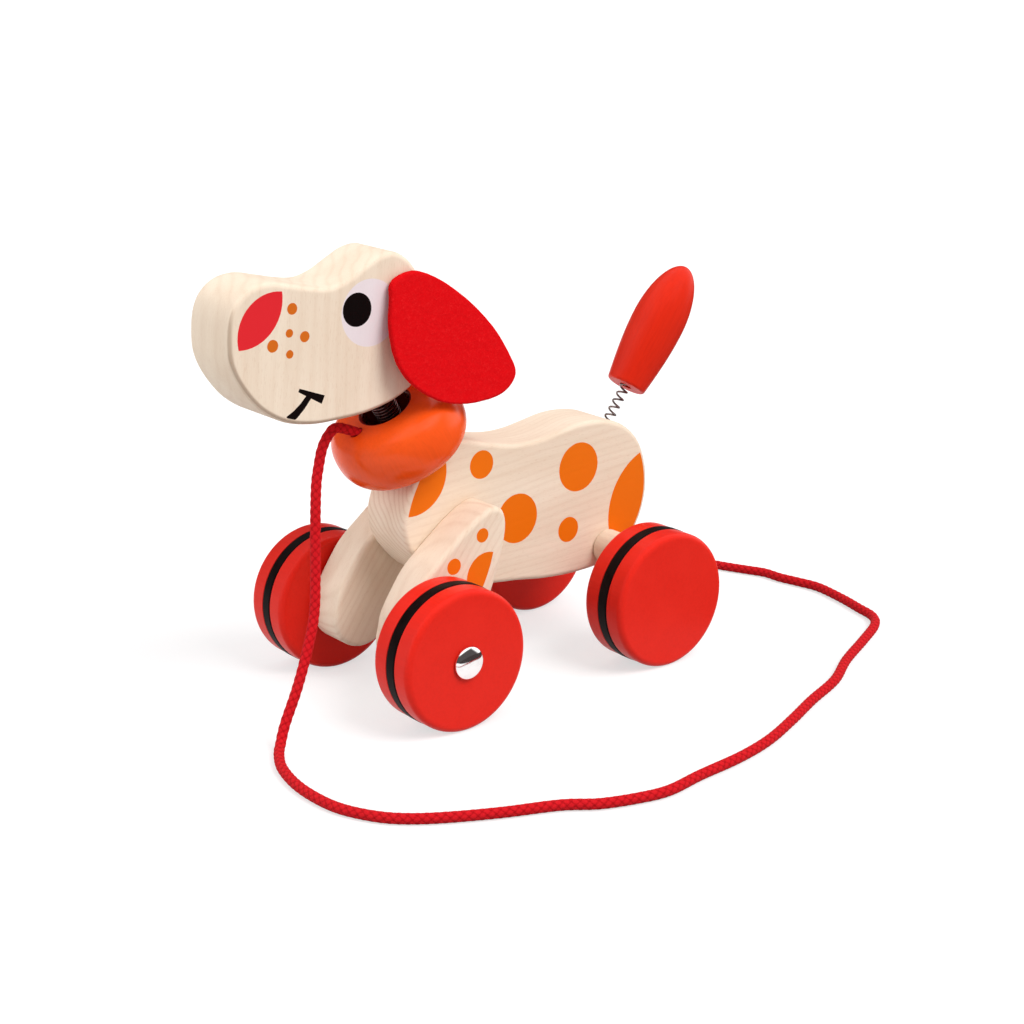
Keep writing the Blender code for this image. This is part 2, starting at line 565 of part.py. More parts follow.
def make_ears():
    """Two flat felt ears, glued at the top and splayed away from the head."""
    outline = smooth(EAR_OUTLINE, OUTLINE_STEPS, closed=True) + NECK_TOP[[0, 2]]
    slope = math.tan(math.radians(EAR_SPLAY))
    inner = HEAD_THICKNESS / 2 + GAP
    for side, word in ((1, "left"), (-1, "right")):
        low, high = sorted((side * inner, side * (inner + EAR_THICKNESS)))
        hinge = (NECK_TOP[0], side * inner, NECK_TOP[2] + EAR_TOP)
        ear = board("ear_" + word, outline, low, high, FELT, hinge, EAR_EDGE)
        for vertex in ear.data.vertices:
            vertex.co.y += side * slope * max(-vertex.co.z, 0.0)


def cord_route():
    """The cord's middle line: out of its hole, down to the floor and along it to the knot."""
    floor = CORD_DIAMETER / 2 + FLOOR_GAP - AXLE_HEIGHT
    start = CORD_MOUTH - (CORD_HOLE_DEPTH - GAP) * CORD_AXIS
    air = [(x, y, z - AXLE_HEIGHT) for x, y, z in CORD_DROP]
    ground = [(x, y, floor) for x, y in CORD_FLOOR]
    knot = np.array([*KNOT_PLACE, KNOT_RADIUS + FLOOR_GAP - AXLE_HEIGHT])
    toward = np.array([*CORD_FLOOR[-1], knot[2]]) - knot
    toward /= np.linalg.norm(toward)
    end = knot + (KNOT_LENGTH / 2 + GAP) * toward
    lead = end + KNOT_LEAD * toward
    line = smooth([start, CORD_MOUTH, *air, *ground, lead, end], 12, closed=False)
    line[:, 2] = np.maximum(line[:, 2], floor)
    return line, knot, toward


def make_cord():
    """The pull cord and the plain knot at its loose end."""
    line, knot, toward = cord_route()
    points = evenly(line, CORD_POINT_STEP)
    tube("pull_cord", points, CORD_DIAMETER / 2, 2, CORD_RED, points[0])
    half, thin = KNOT_LENGTH / 2, CORD_DIAMETER / 2
    barrel = [
        (thin + (KNOT_RADIUS - thin) * math.cos(a) ** 0.7, half * math.sin(a))
        for a in np.linspace(-1.45, 1.45, 7)
    ]
    profile = [(0.0, -half - KNOT_STUB), (thin, -half - KNOT_STUB), (thin, -half)]
    profile += barrel + [(thin, half), (0.0, half)]
    turned("cord_end_knot", profile, knot, toward, CORD_RED, steps=16)
    length = np.linalg.norm(np.diff(points, axis=0), axis=1).sum()
    print("pull cord:", len(points), "points,", round(length, 1), "mm long")


def main():
    for old in list(bpy.data.objects):
        bpy.data.objects.remove(old, do_unlink=True)
    make_running_gear()
    make_body()
    make_legs()
    make_collar()
    make_head()
    make_tail()
    make_ears()
    make_cord()
    print("front pins at X", round(TO_WORLD[0], 3), "mm and Z", round(TO_WORLD[2], 3), "mm")


main()
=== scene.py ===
"""Looks of a wooden pull-along dog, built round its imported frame.

Drawing sizes are in millimetres from named places, and every mesh is written in metres in the frame of the
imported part: X runs forward to the nose, Y to the dog's left and Z up. The places come from the frame itself.
Each class below is one sub-assembly. It holds its sizes, builds its surfaces with numpy and dresses them.
"""

from __future__ import annotations

import json
import logging
import math
from collections.abc import Sequence
from dataclasses import dataclass, field
from enum import Enum

import bmesh
import bpy
import numpy as np
from mathutils import Euler, Matrix, Vector

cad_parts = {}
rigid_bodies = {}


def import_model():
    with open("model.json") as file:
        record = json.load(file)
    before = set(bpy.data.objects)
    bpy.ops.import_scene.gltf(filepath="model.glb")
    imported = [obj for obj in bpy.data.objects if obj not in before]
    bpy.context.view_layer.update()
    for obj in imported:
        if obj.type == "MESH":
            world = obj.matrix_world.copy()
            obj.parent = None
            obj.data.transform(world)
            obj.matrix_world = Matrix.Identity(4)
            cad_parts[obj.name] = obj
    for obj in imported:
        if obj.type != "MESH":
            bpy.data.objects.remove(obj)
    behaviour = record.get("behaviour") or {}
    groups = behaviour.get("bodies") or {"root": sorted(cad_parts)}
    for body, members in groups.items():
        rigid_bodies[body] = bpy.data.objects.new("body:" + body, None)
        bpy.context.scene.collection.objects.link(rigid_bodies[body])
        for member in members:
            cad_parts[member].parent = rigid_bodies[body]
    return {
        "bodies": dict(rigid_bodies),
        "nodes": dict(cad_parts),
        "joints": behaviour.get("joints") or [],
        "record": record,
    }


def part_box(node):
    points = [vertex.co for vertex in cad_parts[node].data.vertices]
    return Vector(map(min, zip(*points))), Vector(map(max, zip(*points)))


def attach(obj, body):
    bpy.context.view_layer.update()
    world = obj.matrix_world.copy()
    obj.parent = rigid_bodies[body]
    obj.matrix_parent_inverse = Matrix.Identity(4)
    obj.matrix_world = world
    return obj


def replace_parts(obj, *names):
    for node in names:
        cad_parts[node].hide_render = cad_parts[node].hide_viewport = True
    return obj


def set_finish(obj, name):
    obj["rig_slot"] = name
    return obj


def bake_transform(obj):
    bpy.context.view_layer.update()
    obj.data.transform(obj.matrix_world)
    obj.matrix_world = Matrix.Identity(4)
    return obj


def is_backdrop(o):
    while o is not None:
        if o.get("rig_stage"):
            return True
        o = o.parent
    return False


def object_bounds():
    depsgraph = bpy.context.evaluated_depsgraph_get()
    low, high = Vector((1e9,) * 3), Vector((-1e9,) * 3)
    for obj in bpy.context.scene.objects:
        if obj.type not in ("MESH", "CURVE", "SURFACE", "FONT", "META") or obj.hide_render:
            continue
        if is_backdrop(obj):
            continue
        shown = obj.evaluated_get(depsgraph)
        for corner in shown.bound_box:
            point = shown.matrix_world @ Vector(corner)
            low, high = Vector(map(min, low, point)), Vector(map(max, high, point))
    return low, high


MM = 0.001  # metres in a millimetre
GAP = 0.3  # clearance between two pieces that touch
TAU = 2 * math.pi
SIDE = np.array([0.0, 1.0, 0.0])  # to the dog's left
LOG = logging.getLogger("dog")

Array = np.ndarray
Colour = tuple[float, float, float]


class Hand(Enum):
    """The two sides of the dog."""

    LEFT = 1
    RIGHT = -1

    @property
    def word(self) -> str:
        """The side's name in a piece's name."""
        return self.name.lower()


# ---------------------------------------------------------------------------------------------------------
# Places
# ---------------------------------------------------------------------------------------------------------


@dataclass(frozen=True)
class Places:
    """Places in metres and directions that several pieces share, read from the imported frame."""

    front_axle: Array
    rear_axle: Array
    neck_top: Array
    neck_axis: Array
    tail_base: Array
    tail_axis: Array

    @classmethod
    def read(cls, frame: dict) -> Places:
        """Reads the axles from their pins' and rod's boxes, and the neck and the tail from their joints.


        Returns:
            The places.
        """
        joints = {joint["name"]: joint for joint in frame["joints"]}
        turn, dip, wag = joints["head_turn"], joints["tail_dip"], joints["tail_wag"]
        left, right, rear = (np.mean(np.array(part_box(n)), axis=0) for n in ("front_pin_left", "front_pin_right", "rear_axle"))
        return cls(
            (left + right) / 2,
            rear,
            np.array(turn["pos_m"]),
            np.array(turn["axis"]),
            np.array(dip["pos_m"]),
            np.cross(np.array(wag["axis"]), SIDE),
        )

    @property
    def neck_across(self) -> Array:
        """Direction square to the neck's axis in the dog's middle plane, down towards the nose."""
        return np.cross(SIDE, self.neck_axis)

    def side_view(self, points: Sequence, origin: Array) -> Array:
        """Pairs of X and Z in millimetres from a place, as X and Z in metres in the row frame.

        Args:
            points: The pairs.
            origin: The place, in metres.

        Returns:
            An array of two columns.
        """
        return np.asarray(points, float) * MM + origin[[0, 2]]


# ---------------------------------------------------------------------------------------------------------
# Curves
# ---------------------------------------------------------------------------------------------------------


def unit(vectors: Array) -> Array:
    """Vectors divided by their own lengths."""
    return vectors / np.linalg.norm(vectors, axis=-1, keepdims=True)


def smooth(points: Sequence, steps: int, closed: bool) -> Array:
    """Catmull-Rom curve: each span is the cubic that meets both its ends and half the chord round each end.

    Args:
        points: The curve's own points.
        steps: Steps from each point to the next.
        closed: Whether the last point runs on to the first.

    Returns:
        The points of the curve.
    """
    points = np.asarray(points, float)
    if closed:
        padded = np.vstack([points[-1:], points, points[:2]])
    else:
        padded = np.vstack([2 * points[0] - points[1], points, 2 * points[-1] - points[-2]])
    share = np.linspace(0.0, 1.0, steps, endpoint=False)[None, :, None]
    before, start, end, after = (padded[k : len(padded) - 3 + k, None, :] for k in range(4))
    curve = 0.5 * (
        2 * start
        + (end - before) * share
        + (2 * before - 5 * start + 4 * end - after) * share**2
        + (3 * start - before - 3 * end + after) * share**3
    )
    curve = curve.reshape(-1, points.shape[1])
    return curve if closed else np.vstack([curve, points[-1:]])


def lengths_along(curve: Array) -> Array:
    """Length of a curve from its start to each of its points."""
    return np.concatenate([[0.0], np.cumsum(np.linalg.norm(np.diff(curve, axis=0), axis=1))])


def evenly(curve: Array, step: float, closed: bool = False) -> Array:
    """The curve read again at even steps of about the given length."""
    if closed:
        curve = np.vstack([curve, curve[:1]])
    along = lengths_along(curve)
    places = np.linspace(0.0, along[-1], max(2, round(along[-1] / step) + 1))
    read = np.stack([np.interp(places, along, column) for column in curve.T], axis=1)
    return read[:-1] if closed else read


def arc(radius: float, start: float, end: float, steps: int) -> Array:
    """Points of an arc about zero: radius times the cosine and the sine of angles in degrees."""
    angles = np.radians(np.linspace(start, end, steps))
    return radius * np.stack([np.cos(angles), np.sin(angles)], axis=1)


def eased(corners: Sequence[tuple[float, float, float]], steps: int = 6, closed: bool = False) -> Array:
    """A profile through corners that are each rounded by their own radius.

    An arc of radius r that touches both sides of a corner starts r * tan(half the turn) before it. A point
    just outside each end of the arc keeps the straight stretches flat when they are shaded.

    Args:
        corners: First and second coordinate and radius of each corner.
        steps: Steps of each arc.
        closed: Whether the last corner runs on to the first.

    Returns:
        The points of the profile.
    """
    places = np.array([corner[:2] for corner in corners], float)
    rows = []
    for k, here in enumerate(places):
        radius = corners[k][2]
        if radius <= 0.0 or (not closed and k in (0, len(places) - 1)):
            rows.append(here[None])
            continue
        back = unit(places[k - 1] - here)
        ahead = unit(places[(k + 1) % len(places)] - here)
        half_turn = (math.pi - math.acos(float(np.clip(back @ ahead, -1.0, 1.0)))) / 2
        reach = radius * math.tan(half_turn)
        centre = here + unit(back + ahead) * radius / math.cos(half_turn)
        start, end = here + back * reach - centre, here + ahead * reach - centre
        share = np.linspace(0.0, 1.0, steps + 1)[:, None] * 2 * half_turn
        rows.append((here + back * (reach + 0.12 * radius))[None])
        rows.append(centre + (np.sin(2 * half_turn - share) * start + np.sin(share) * end) / math.sin(2 * half_turn))
        rows.append((here + ahead * (reach + 0.12 * radius))[None])
    return np.vstack(rows)


def ease_outline(outline: Array, least_radius: float) -> Array:
    """Sands the tight corners of an even outline until each bend has the least radius.

    A point whose turn is more than its step over that radius moves half way to the middle of its neighbours,
    with the points beside it, and this is repeated until none is left.

    Args:
        outline: Two columns, evenly spaced and closed.
        least_radius: In the outline's own unit.

    Returns:
        The eased outline.
    """
    for _ in range(600):
        before, after = np.roll(outline, 1, 0), np.roll(outline, -1, 0)
        one, two = outline - before, after - outline
        turn = np.arctan2(one[:, 0] * two[:, 1] - one[:, 1] * two[:, 0], (one * two).sum(1))
        step = (np.linalg.norm(one, axis=1) + np.linalg.norm(two, axis=1)) / 2
        tight = np.abs(turn) > step / least_radius
        if not tight.any():
            break
        tight = tight | np.roll(tight, 1) | np.roll(tight, -1)
        outline = np.where(tight[:, None], 0.5 * outline + 0.25 * (before + after), outline)
    return outline


def value_noise(points: Array, scale: float, seed: int = 0) -> Array:
    """Smooth noise from -1 to 1: hashed values at whole places, blended by the cubic 3t^2 - 2t^3 on each axis.

    Args:
        points: Three columns, in metres.
        scale: Cells in a metre.
        seed: Which field.

    Returns:
        One value for each point.
    """
    scaled = points * scale + seed * 17.3
    cell = np.floor(scaled).astype(np.int64)
    part = scaled - cell
    ease = part * part * (3 - 2 * part)
    total = np.zeros(len(points))
    for corner in range(8):
        shift = np.array([corner & 1, corner >> 1 & 1, corner >> 2 & 1])
        place = cell + shift
        mixed = place[:, 0] * 73856093 ^ place[:, 1] * 19349663 ^ place[:, 2] * 83492791 ^ seed * 2654435761
        mixed = (mixed ^ mixed >> 13) * 1274126177 & 0xFFFFFFFF
        value = (mixed >> 8 & 0xFFFF) / 32767.5 - 1.0
        weight = np.prod(np.where(shift == 1, ease, 1 - ease), axis=1)
        total += weight * value
    return total


# ---------------------------------------------------------------------------------------------------------
# Surfaces
# ---------------------------------------------------------------------------------------------------------


@dataclass
class Surface:
    """Points in metres with their faces, and a UV for each corner of each face where the material needs one."""

    points: Array
    quads: Array
    caps: list[list[int]] = field(default_factory=list)
    uv: Array | None = None
    extras: dict[str, Array] = field(default_factory=dict)


def grid_quads(rows: int, columns: int, wrap_rows: bool = False) -> Array:
    """Quads between neighbouring rows and columns, where point (r, c) is number r * columns + c.

    The columns always wrap round.

    Args:
        rows: Number of rows.
        columns: Points in each row.
        wrap_rows: Whether the last row runs on to the first.

    Returns:
        Four columns of point numbers.
    """
    row = np.arange(rows if wrap_rows else rows - 1)[:, None]
    column = np.arange(columns)[None, :]
    below, above = row * columns, (row + 1) % rows * columns
    after = (column + 1) % columns
    return np.stack([below + column, below + after, above + after, above + column], axis=-1).reshape(-1, 4)


def grid_uv(rows: int, columns: int, wrap_rows: bool = False) -> Array:
    """UV of each corner of the quads: U is the share round a row and V the share of the rows."""
    count = rows if wrap_rows else rows - 1
    row, column = np.meshgrid(np.arange(count), np.arange(columns), indexing="ij")
    u = np.stack([column, column + 1, column + 1, column], axis=-1) / columns
    v = np.stack([row, row, row + 1, row + 1], axis=-1) / max(count, 1)
    return np.stack([u, v], axis=-1).reshape(-1, 2)


def turned(profile: Array, centre: Array, axis: Array, steps: int = 96, ring: bool = False) -> Surface:
    """Surface of a turned piece: centre + height * axis + radius * (cos a * across + sin a * other).

    Args:
        profile: Radius and height in millimetres, up the outside. A ring's profile closes on itself.
        centre: Zero of the profile, in metres.
        axis: Unit vector.
        steps: Steps round the piece.
        ring: Whether the profile closes on itself.

    Returns:
        The surface. Where a profile meets the axis its points lie on one place, and are merged later.
    """
    across = unit(np.cross(SIDE if abs(axis[1]) < 0.5 else np.array([0.0, 0.0, 1.0]), axis))
    other = np.cross(axis, across)
    angle = np.linspace(0.0, TAU, steps, endpoint=False)
    spokes = np.cos(angle)[:, None] * across + np.sin(angle)[:, None] * other
    profile = np.asarray(profile, float) * MM
    points = centre + profile[:, None, 1:] * axis + profile[:, None, :1] * spokes[None]
    rows = len(profile)
    return Surface(points.reshape(-1, 3), grid_quads(rows, steps, ring), uv=grid_uv(rows, steps, ring))


def board(outline: Array, low: float, high: float, edge: float, arc_steps: int = 7) -> Surface:
    """Surface of a sawn board with rounded edges.

    A ring at angle a of a rounded edge lies edge * (1 - cos a) inside the outline and edge * (1 - sin a) from
    the face. A last ring inside each face keeps it flat when it is shaded.

    Args:
        outline: X and Z in metres, even, eased and closed.
        low: Lowest Y, in millimetres.
        high: Highest Y.
        edge: Radius of the edges.
        arc_steps: Rings on each edge.

    Returns:
        The closed surface.
    """
    ahead, behind = np.roll(outline, -1, 0), np.roll(outline, 1, 0)
    if np.sum(outline[:, 0] * ahead[:, 1] - ahead[:, 0] * outline[:, 1]) < 0:
        return board(outline[::-1], low, high, edge, arc_steps)
    tangent = unit(ahead - behind)
    inward = np.stack([-tangent[:, 1], tangent[:, 0]], axis=1)
    angle = np.linspace(0.0, math.pi / 2, arc_steps + 1)
    inset = np.concatenate([edge * (1 - np.cos(angle)), [edge * 1.12]])
    depth = np.concatenate([edge * (1 - np.sin(angle)), [0.0]])
    insets = np.concatenate([inset[::-1], inset]) * MM
    heights = np.concatenate([(low + depth)[::-1], high - depth]) * MM
    flat = outline[None] + insets[:, None, None] * inward[None]
    level = np.broadcast_to(heights[:, None, None], (*flat.shape[:2], 1))
    points = np.concatenate([flat[..., :1], level, flat[..., 1:]], axis=2)
    rows, columns = points.shape[:2]
    caps = [list(range(columns)), list(range((rows - 1) * columns, rows * columns))]
    return Surface(points.reshape(-1, 3), grid_quads(rows, columns), caps)


def carried_frames(path: Array) -> tuple[Array, Array, Array]:
    """Tangents of a path with two directions square to each, which don't twist about it.

    Each tangent gets a direction square to it from one fixed vector. The minimal rotation from one tangent to
    the next says how far that direction has twisted, and the running sum of those angles is turned back.

    Args:
        path: Three columns.

    Returns:
        Tangents and the two other directions.
    """
    tangent = unit(np.gradient(path, axis=0))
    fixed = unit(np.array([0.5, -0.8, 0.33]))
    first = unit(fixed - (tangent @ fixed)[:, None] * tangent)
    second = np.cross(tangent, first)
    one, two = tangent[:-1], tangent[1:]
    turn = np.cross(one, two)
    share = 1.0 / (1.0 + (one * two).sum(1))
    carried = first[:-1] + np.cross(turn, first[:-1]) + share[:, None] * np.cross(turn, np.cross(turn, first[:-1]))
    twist = np.arctan2((carried * second[1:]).sum(1), (carried * first[1:]).sum(1))
    back = np.concatenate([[0.0], np.cumsum(twist)])[:, None]
    return tangent, np.cos(back) * first + np.sin(back) * second, -np.sin(back) * first + np.cos(back) * second


def tube(path: Array, radius: Array | float, steps: int) -> Surface:
    """Surface of a tube: path + radius * (cos a * first + sin a * second), with its ends closed.

    Args:
        path: Points in metres.
        radius: In metres, one value or one for each point of the path and step round it.
        steps: Steps round the tube.

    Returns:
        The surface.
    """
    _, first, second = carried_frames(path)
    angle = np.linspace(0.0, TAU, steps, endpoint=False)
    spokes = np.cos(angle)[None, :, None] * first[:, None] + np.sin(angle)[None, :, None] * second[:, None]
    radius = np.broadcast_to(np.asarray(radius, float), (len(path), steps))
    points = path[:, None] + radius[..., None] * spokes
    rows = len(path)
    caps = [list(range(steps)), list(range((rows - 1) * steps, rows * steps))]
    return Surface(points.reshape(-1, 3), grid_quads(rows, steps), caps, grid_uv(rows, steps))


def make_piece(name: str, surface: Surface, finish: bpy.types.Material, slot: str, sharp: float = 40.0) -> bpy.types.Object:
    """A mesh object from a surface, merged at its seams and poles, with its faces pointing out.

    Args:
        name: Name of the piece.
        surface: Its points and faces.
        finish: Its material.
        slot: The record's material slot.
        sharp: Angle in degrees from which an edge is shaded sharp.

    Returns:
        The object, at the origin and unturned.
    """
    mesh = bpy.data.meshes.new(name)
    mesh.from_pydata(surface.points.tolist(), [], surface.quads.tolist() + surface.caps)
    if surface.uv is not None:
        loops = np.zeros((len(mesh.loops), 2), np.float32)
        loops[: len(surface.uv)] = surface.uv
        mesh.uv_layers.new(name="UVMap").data.foreach_set("uv", loops.ravel())
    for key, values in surface.extras.items():
        mesh.attributes.new(key, "FLOAT", "POINT").data.foreach_set("value", values.astype(np.float32))
    work = bmesh.new()
    work.from_mesh(mesh)
    bmesh.ops.remove_doubles(work, verts=work.verts, dist=1e-7)
    bmesh.ops.recalc_face_normals(work, faces=work.faces)
    work.to_mesh(mesh)
    work.free()
    piece = bpy.data.objects.new(name, mesh)
    bpy.context.scene.collection.objects.link(piece)
    mesh.materials.append(finish)
    shade(piece, sharp)
    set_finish(piece, slot)
    LOG.info("%s: %d faces", name, len(mesh.polygons))
    return piece


def shade(piece: bpy.types.Object, sharp: float = 40.0) -> None:
    """Shades a piece smooth except at edges of more than that angle in degrees."""
    piece.data.shade_smooth()
    piece.data.set_sharp_from_angle(angle=math.radians(sharp))


def drill(piece: bpy.types.Object, start: Array, axis: Array, radius: float, depth: float, steps: int = 48) -> None:
    """Cuts a round hole into a piece and applies it.

    Args:
        piece: The piece.
        start: Place outside the surface where the drill starts, in metres.
        axis: Unit vector of the hole, inwards.
        radius: In millimetres.
        depth: In millimetres, from the start.
        steps: Steps round the hole.
    """
    surface = turned([(0.0, 0.0), (radius, 0.0), (radius, depth), (0.0, depth)], start, axis, steps)
    cutter = make_piece("drill", surface, piece.data.materials[0], piece["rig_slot"])
    cut = piece.modifiers.new("hole", "BOOLEAN")
    cut.operation, cut.solver, cut.object = "DIFFERENCE", "EXACT", cutter
    bpy.context.view_layer.update()
    cut_mesh = bpy.data.meshes.new_from_object(piece.evaluated_get(bpy.context.evaluated_depsgraph_get()))
    piece.modifiers.clear()
    old, piece.data = piece.data, cut_mesh
    name = old.name
    bpy.data.meshes.remove(old)
    cut_mesh.name = name
    bpy.data.objects.remove(cutter, do_unlink=True)
    shade(piece)


# ---------------------------------------------------------------------------------------------------------
# Materials
# ---------------------------------------------------------------------------------------------------------


class Nodes:
    """A short way to write the nodes of one shader tree."""

    def __init__(self, tree: bpy.types.NodeTree) -> None:
        """Starts on a tree.

        Args:
            tree: The tree of a material, a world or a node group.
        """
        self.tree = tree

    def add(self, kind: str, inputs: dict | None = None, **settings: object) -> bpy.types.Node:
        """A node of a kind, with its settings, and with each named input linked or set.

        Args:
            kind: Name of the node's type without "ShaderNode".
            inputs: Sockets or plain values by the input's name or number.
            **settings: Properties of the node.

        Returns:
            The node.
        """
        node = self.tree.nodes.new("ShaderNode" + kind)
        for key, value in settings.items():
            setattr(node, key, value)
        for key, value in (inputs or {}).items():
            self.feed(node.inputs[key], value)
        return node

    def feed(self, socket: bpy.types.NodeSocket, value: object) -> None:
        """Links a socket to an output, or sets its plain value."""
        if isinstance(value, bpy.types.NodeSocket):
            self.tree.links.new(value, socket)
        elif isinstance(value, tuple) and len(value) == 3 and socket.type == "RGBA":
            socket.default_value = (*value, 1.0)
        else:
            socket.default_value = value

    def math(self, operation: str, *values: object, clamp: bool = False) -> bpy.types.NodeSocket:
        """Output of a Math node."""
        node = self.add("Math", dict(enumerate(values)), operation=operation, use_clamp=clamp)
        return node.outputs[0]

    def vector(self, operation: str, *values: object, out: str = "Vector") -> bpy.types.NodeSocket:
        """Output of a Vector Math node. The last value of a SCALE is its factor."""
        if operation == "SCALE":
            node = self.add("VectorMath", {"Vector": values[0], "Scale": values[1]}, operation=operation)
        else:
            node = self.add("VectorMath", dict(enumerate(values)), operation=operation)
        return node.outputs[out]

    def mix(self, factor: object, one: object, two: object, blend: str = "MIX") -> bpy.types.NodeSocket:
        """Colour one at factor 0, turned to colour two at factor 1."""
        node = self.add("Mix", data_type="RGBA", blend_type=blend)
        for socket, value in zip((node.inputs[0], node.inputs[6], node.inputs[7]), (factor, one, two)):
            self.feed(socket, value)
        return node.outputs[2]

    def spread(self, value: object, low: float, high: float, to_low: object = 0.0, to_high: object = 1.0) -> bpy.types.NodeSocket:
        """A value mapped smoothly from one range to another, and held at its ends."""
        names = {"Value": value, "From Min": low, "From Max": high, "To Min": to_low, "To Max": to_high}
        return self.add("MapRange", names, interpolation_type="SMOOTHSTEP").outputs[0]

    def noise(self, vector: object, scale: float, detail: float = 2.0, rough: float = 0.5, out: str = "Fac") -> bpy.types.NodeSocket:
        """Output of a Noise Texture."""
        names = {"Vector": vector, "Scale": scale, "Detail": detail, "Roughness": rough}
        return self.add("TexNoise", names).outputs[out]

    def bump(self, height: object, distance: float, strength: float = 1.0) -> bpy.types.NodeSocket:
        """Normal of a Bump node."""
        return self.add("Bump", {"Height": height, "Distance": distance, "Strength": strength}).outputs[0]

    def use(self, group: bpy.types.NodeTree, **values: object) -> dict[str, bpy.types.NodeSocket]:
        """Places a node group with its inputs, and gives its outputs by name."""
        node = self.tree.nodes.new("ShaderNodeGroup")
        node.node_tree = group
        for key, value in values.items():
            self.feed(node.inputs[key.replace("_", " ")], value)
        return {socket.name: socket for socket in node.outputs}


SOCKETS = {"float": "NodeSocketFloat", "colour": "NodeSocketColor", "vector": "NodeSocketVector"}


def new_group(name: str, inputs: dict[str, str], outputs: dict[str, str]) -> tuple[Nodes, dict, bpy.types.Node]:
    """An empty node group with named sockets.

    Args:
        name: The group's name.
        inputs: Kind of each input by its name.
        outputs: Kind of each output by its name.

    Returns:
        The group's nodes, its inputs as sockets by name, and its output node.
    """
    tree = bpy.data.node_groups.new(name, "ShaderNodeTree")
    for way, sockets in (("INPUT", inputs), ("OUTPUT", outputs)):
        for key, kind in sockets.items():
            tree.interface.new_socket(key, in_out=way, socket_type=SOCKETS[kind])
    nodes = Nodes(tree)
    start = tree.nodes.new("NodeGroupInput")
    return nodes, {socket.name: socket for socket in start.outputs}, tree.nodes.new("NodeGroupOutput")


def beech_group() -> bpy.types.NodeTree:
    """Beech: rings round the log's X axis, long streaks and short ray flecks along it, and slow drifts of tone.

    A ring's shade is the fourth power of a sine of the distance from the axis, which drifts with noise. The
    flecks are noise that is stretched along the grain and cut off near its top.
    """
    nodes, given, out = new_group(
        "Beech",
        {"Vector": "vector", "Ring": "float", "Rings": "float", "Flecks": "float", "Pale": "colour", "Deep": "colour"},
        {"Colour": "colour", "Height": "float", "Normal": "vector"},
    )
    point = given["Vector"]
    drift = nodes.noise(nodes.vector("MULTIPLY", point, (9.0, 30.0, 30.0)), 1.0, 2.0, 0.5, "Color")
    drift = nodes.vector("SCALE", nodes.vector("SUBTRACT", drift, (0.5, 0.5, 0.5)), 0.010)
    warped = nodes.vector("ADD", point, drift)
    flat = nodes.vector("MULTIPLY", warped, (0.0, 1.0, 1.0))
    distance = nodes.vector("LENGTH", flat, out="Value")
    phase = nodes.math("DIVIDE", distance, given["Ring"])
    uneven = nodes.noise(nodes.vector("MULTIPLY", point, (6.0, 60.0, 60.0)), 1.0, 1.0)
    phase = nodes.math("ADD", phase, nodes.math("MULTIPLY", uneven, 1.4))
    wave = nodes.math("SINE", nodes.math("MULTIPLY", phase, TAU))
    late = nodes.math("POWER", nodes.math("MULTIPLY_ADD", wave, 0.5, 0.5), 3.0)
    streak = nodes.noise(nodes.vector("MULTIPLY", point, (55.0, 1500.0, 1500.0)), 1.0, 3.0, 0.62)
    fleck = nodes.noise(nodes.vector("MULTIPLY", point, (420.0, 2300.0, 2300.0)), 1.0, 1.0, 0.4)
    fleck = nodes.spread(fleck, 0.60, 0.70)
    patch = nodes.spread(nodes.noise(nodes.vector("MULTIPLY", point, (14.0, 70.0, 70.0)), 1.0, 2.0), 0.3, 0.7)
    shade_sum = nodes.math("MULTIPLY", late, given["Rings"])
    shade_sum = nodes.math("MULTIPLY_ADD", streak, 0.34, shade_sum)
    shade_sum = nodes.math("MULTIPLY_ADD", nodes.math("MULTIPLY", fleck, given["Flecks"]), 1.0, shade_sum)
    shade_sum = nodes.math("MULTIPLY_ADD", patch, 0.30, shade_sum)
    colour = nodes.mix(nodes.math("SUBTRACT", shade_sum, 0.16, clamp=True), given["Pale"], given["Deep"])
    height = nodes.math("MULTIPLY_ADD", late, -0.4, nodes.math("MULTIPLY", streak, 1.0))
    height = nodes.math("MULTIPLY_ADD", fleck, -0.3, height)
    for key, value in (("Colour", colour), ("Height", height), ("Normal", nodes.bump(height, 0.00005, 0.7))):
        nodes.feed(out.inputs[key], value)
    return nodes.tree


def spot_group() -> bpy.types.NodeTree:
    """A printed spot: 1 where the distance in side view from a centre is less than a radius, with a worn rim."""
    nodes, given, out = new_group(
        "Printed spot", {"Vector": "vector", "Centre": "vector", "Radius": "float"}, {"Mask": "float"}
    )
    offset = nodes.vector("MULTIPLY", nodes.vector("SUBTRACT", given["Vector"], given["Centre"]), (1.0, 0.0, 1.0))
    distance = nodes.vector("LENGTH", offset, out="Value")
    ragged = nodes.noise(given["Vector"], 900.0, 2.0)
    distance = nodes.math("MULTIPLY_ADD", ragged, 0.00018, distance)
    inside = nodes.math("SUBTRACT", given["Radius"], distance)
    nodes.feed(out.inputs["Mask"], nodes.spread(inside, -0.00016, 0.00002))
    return nodes.tree


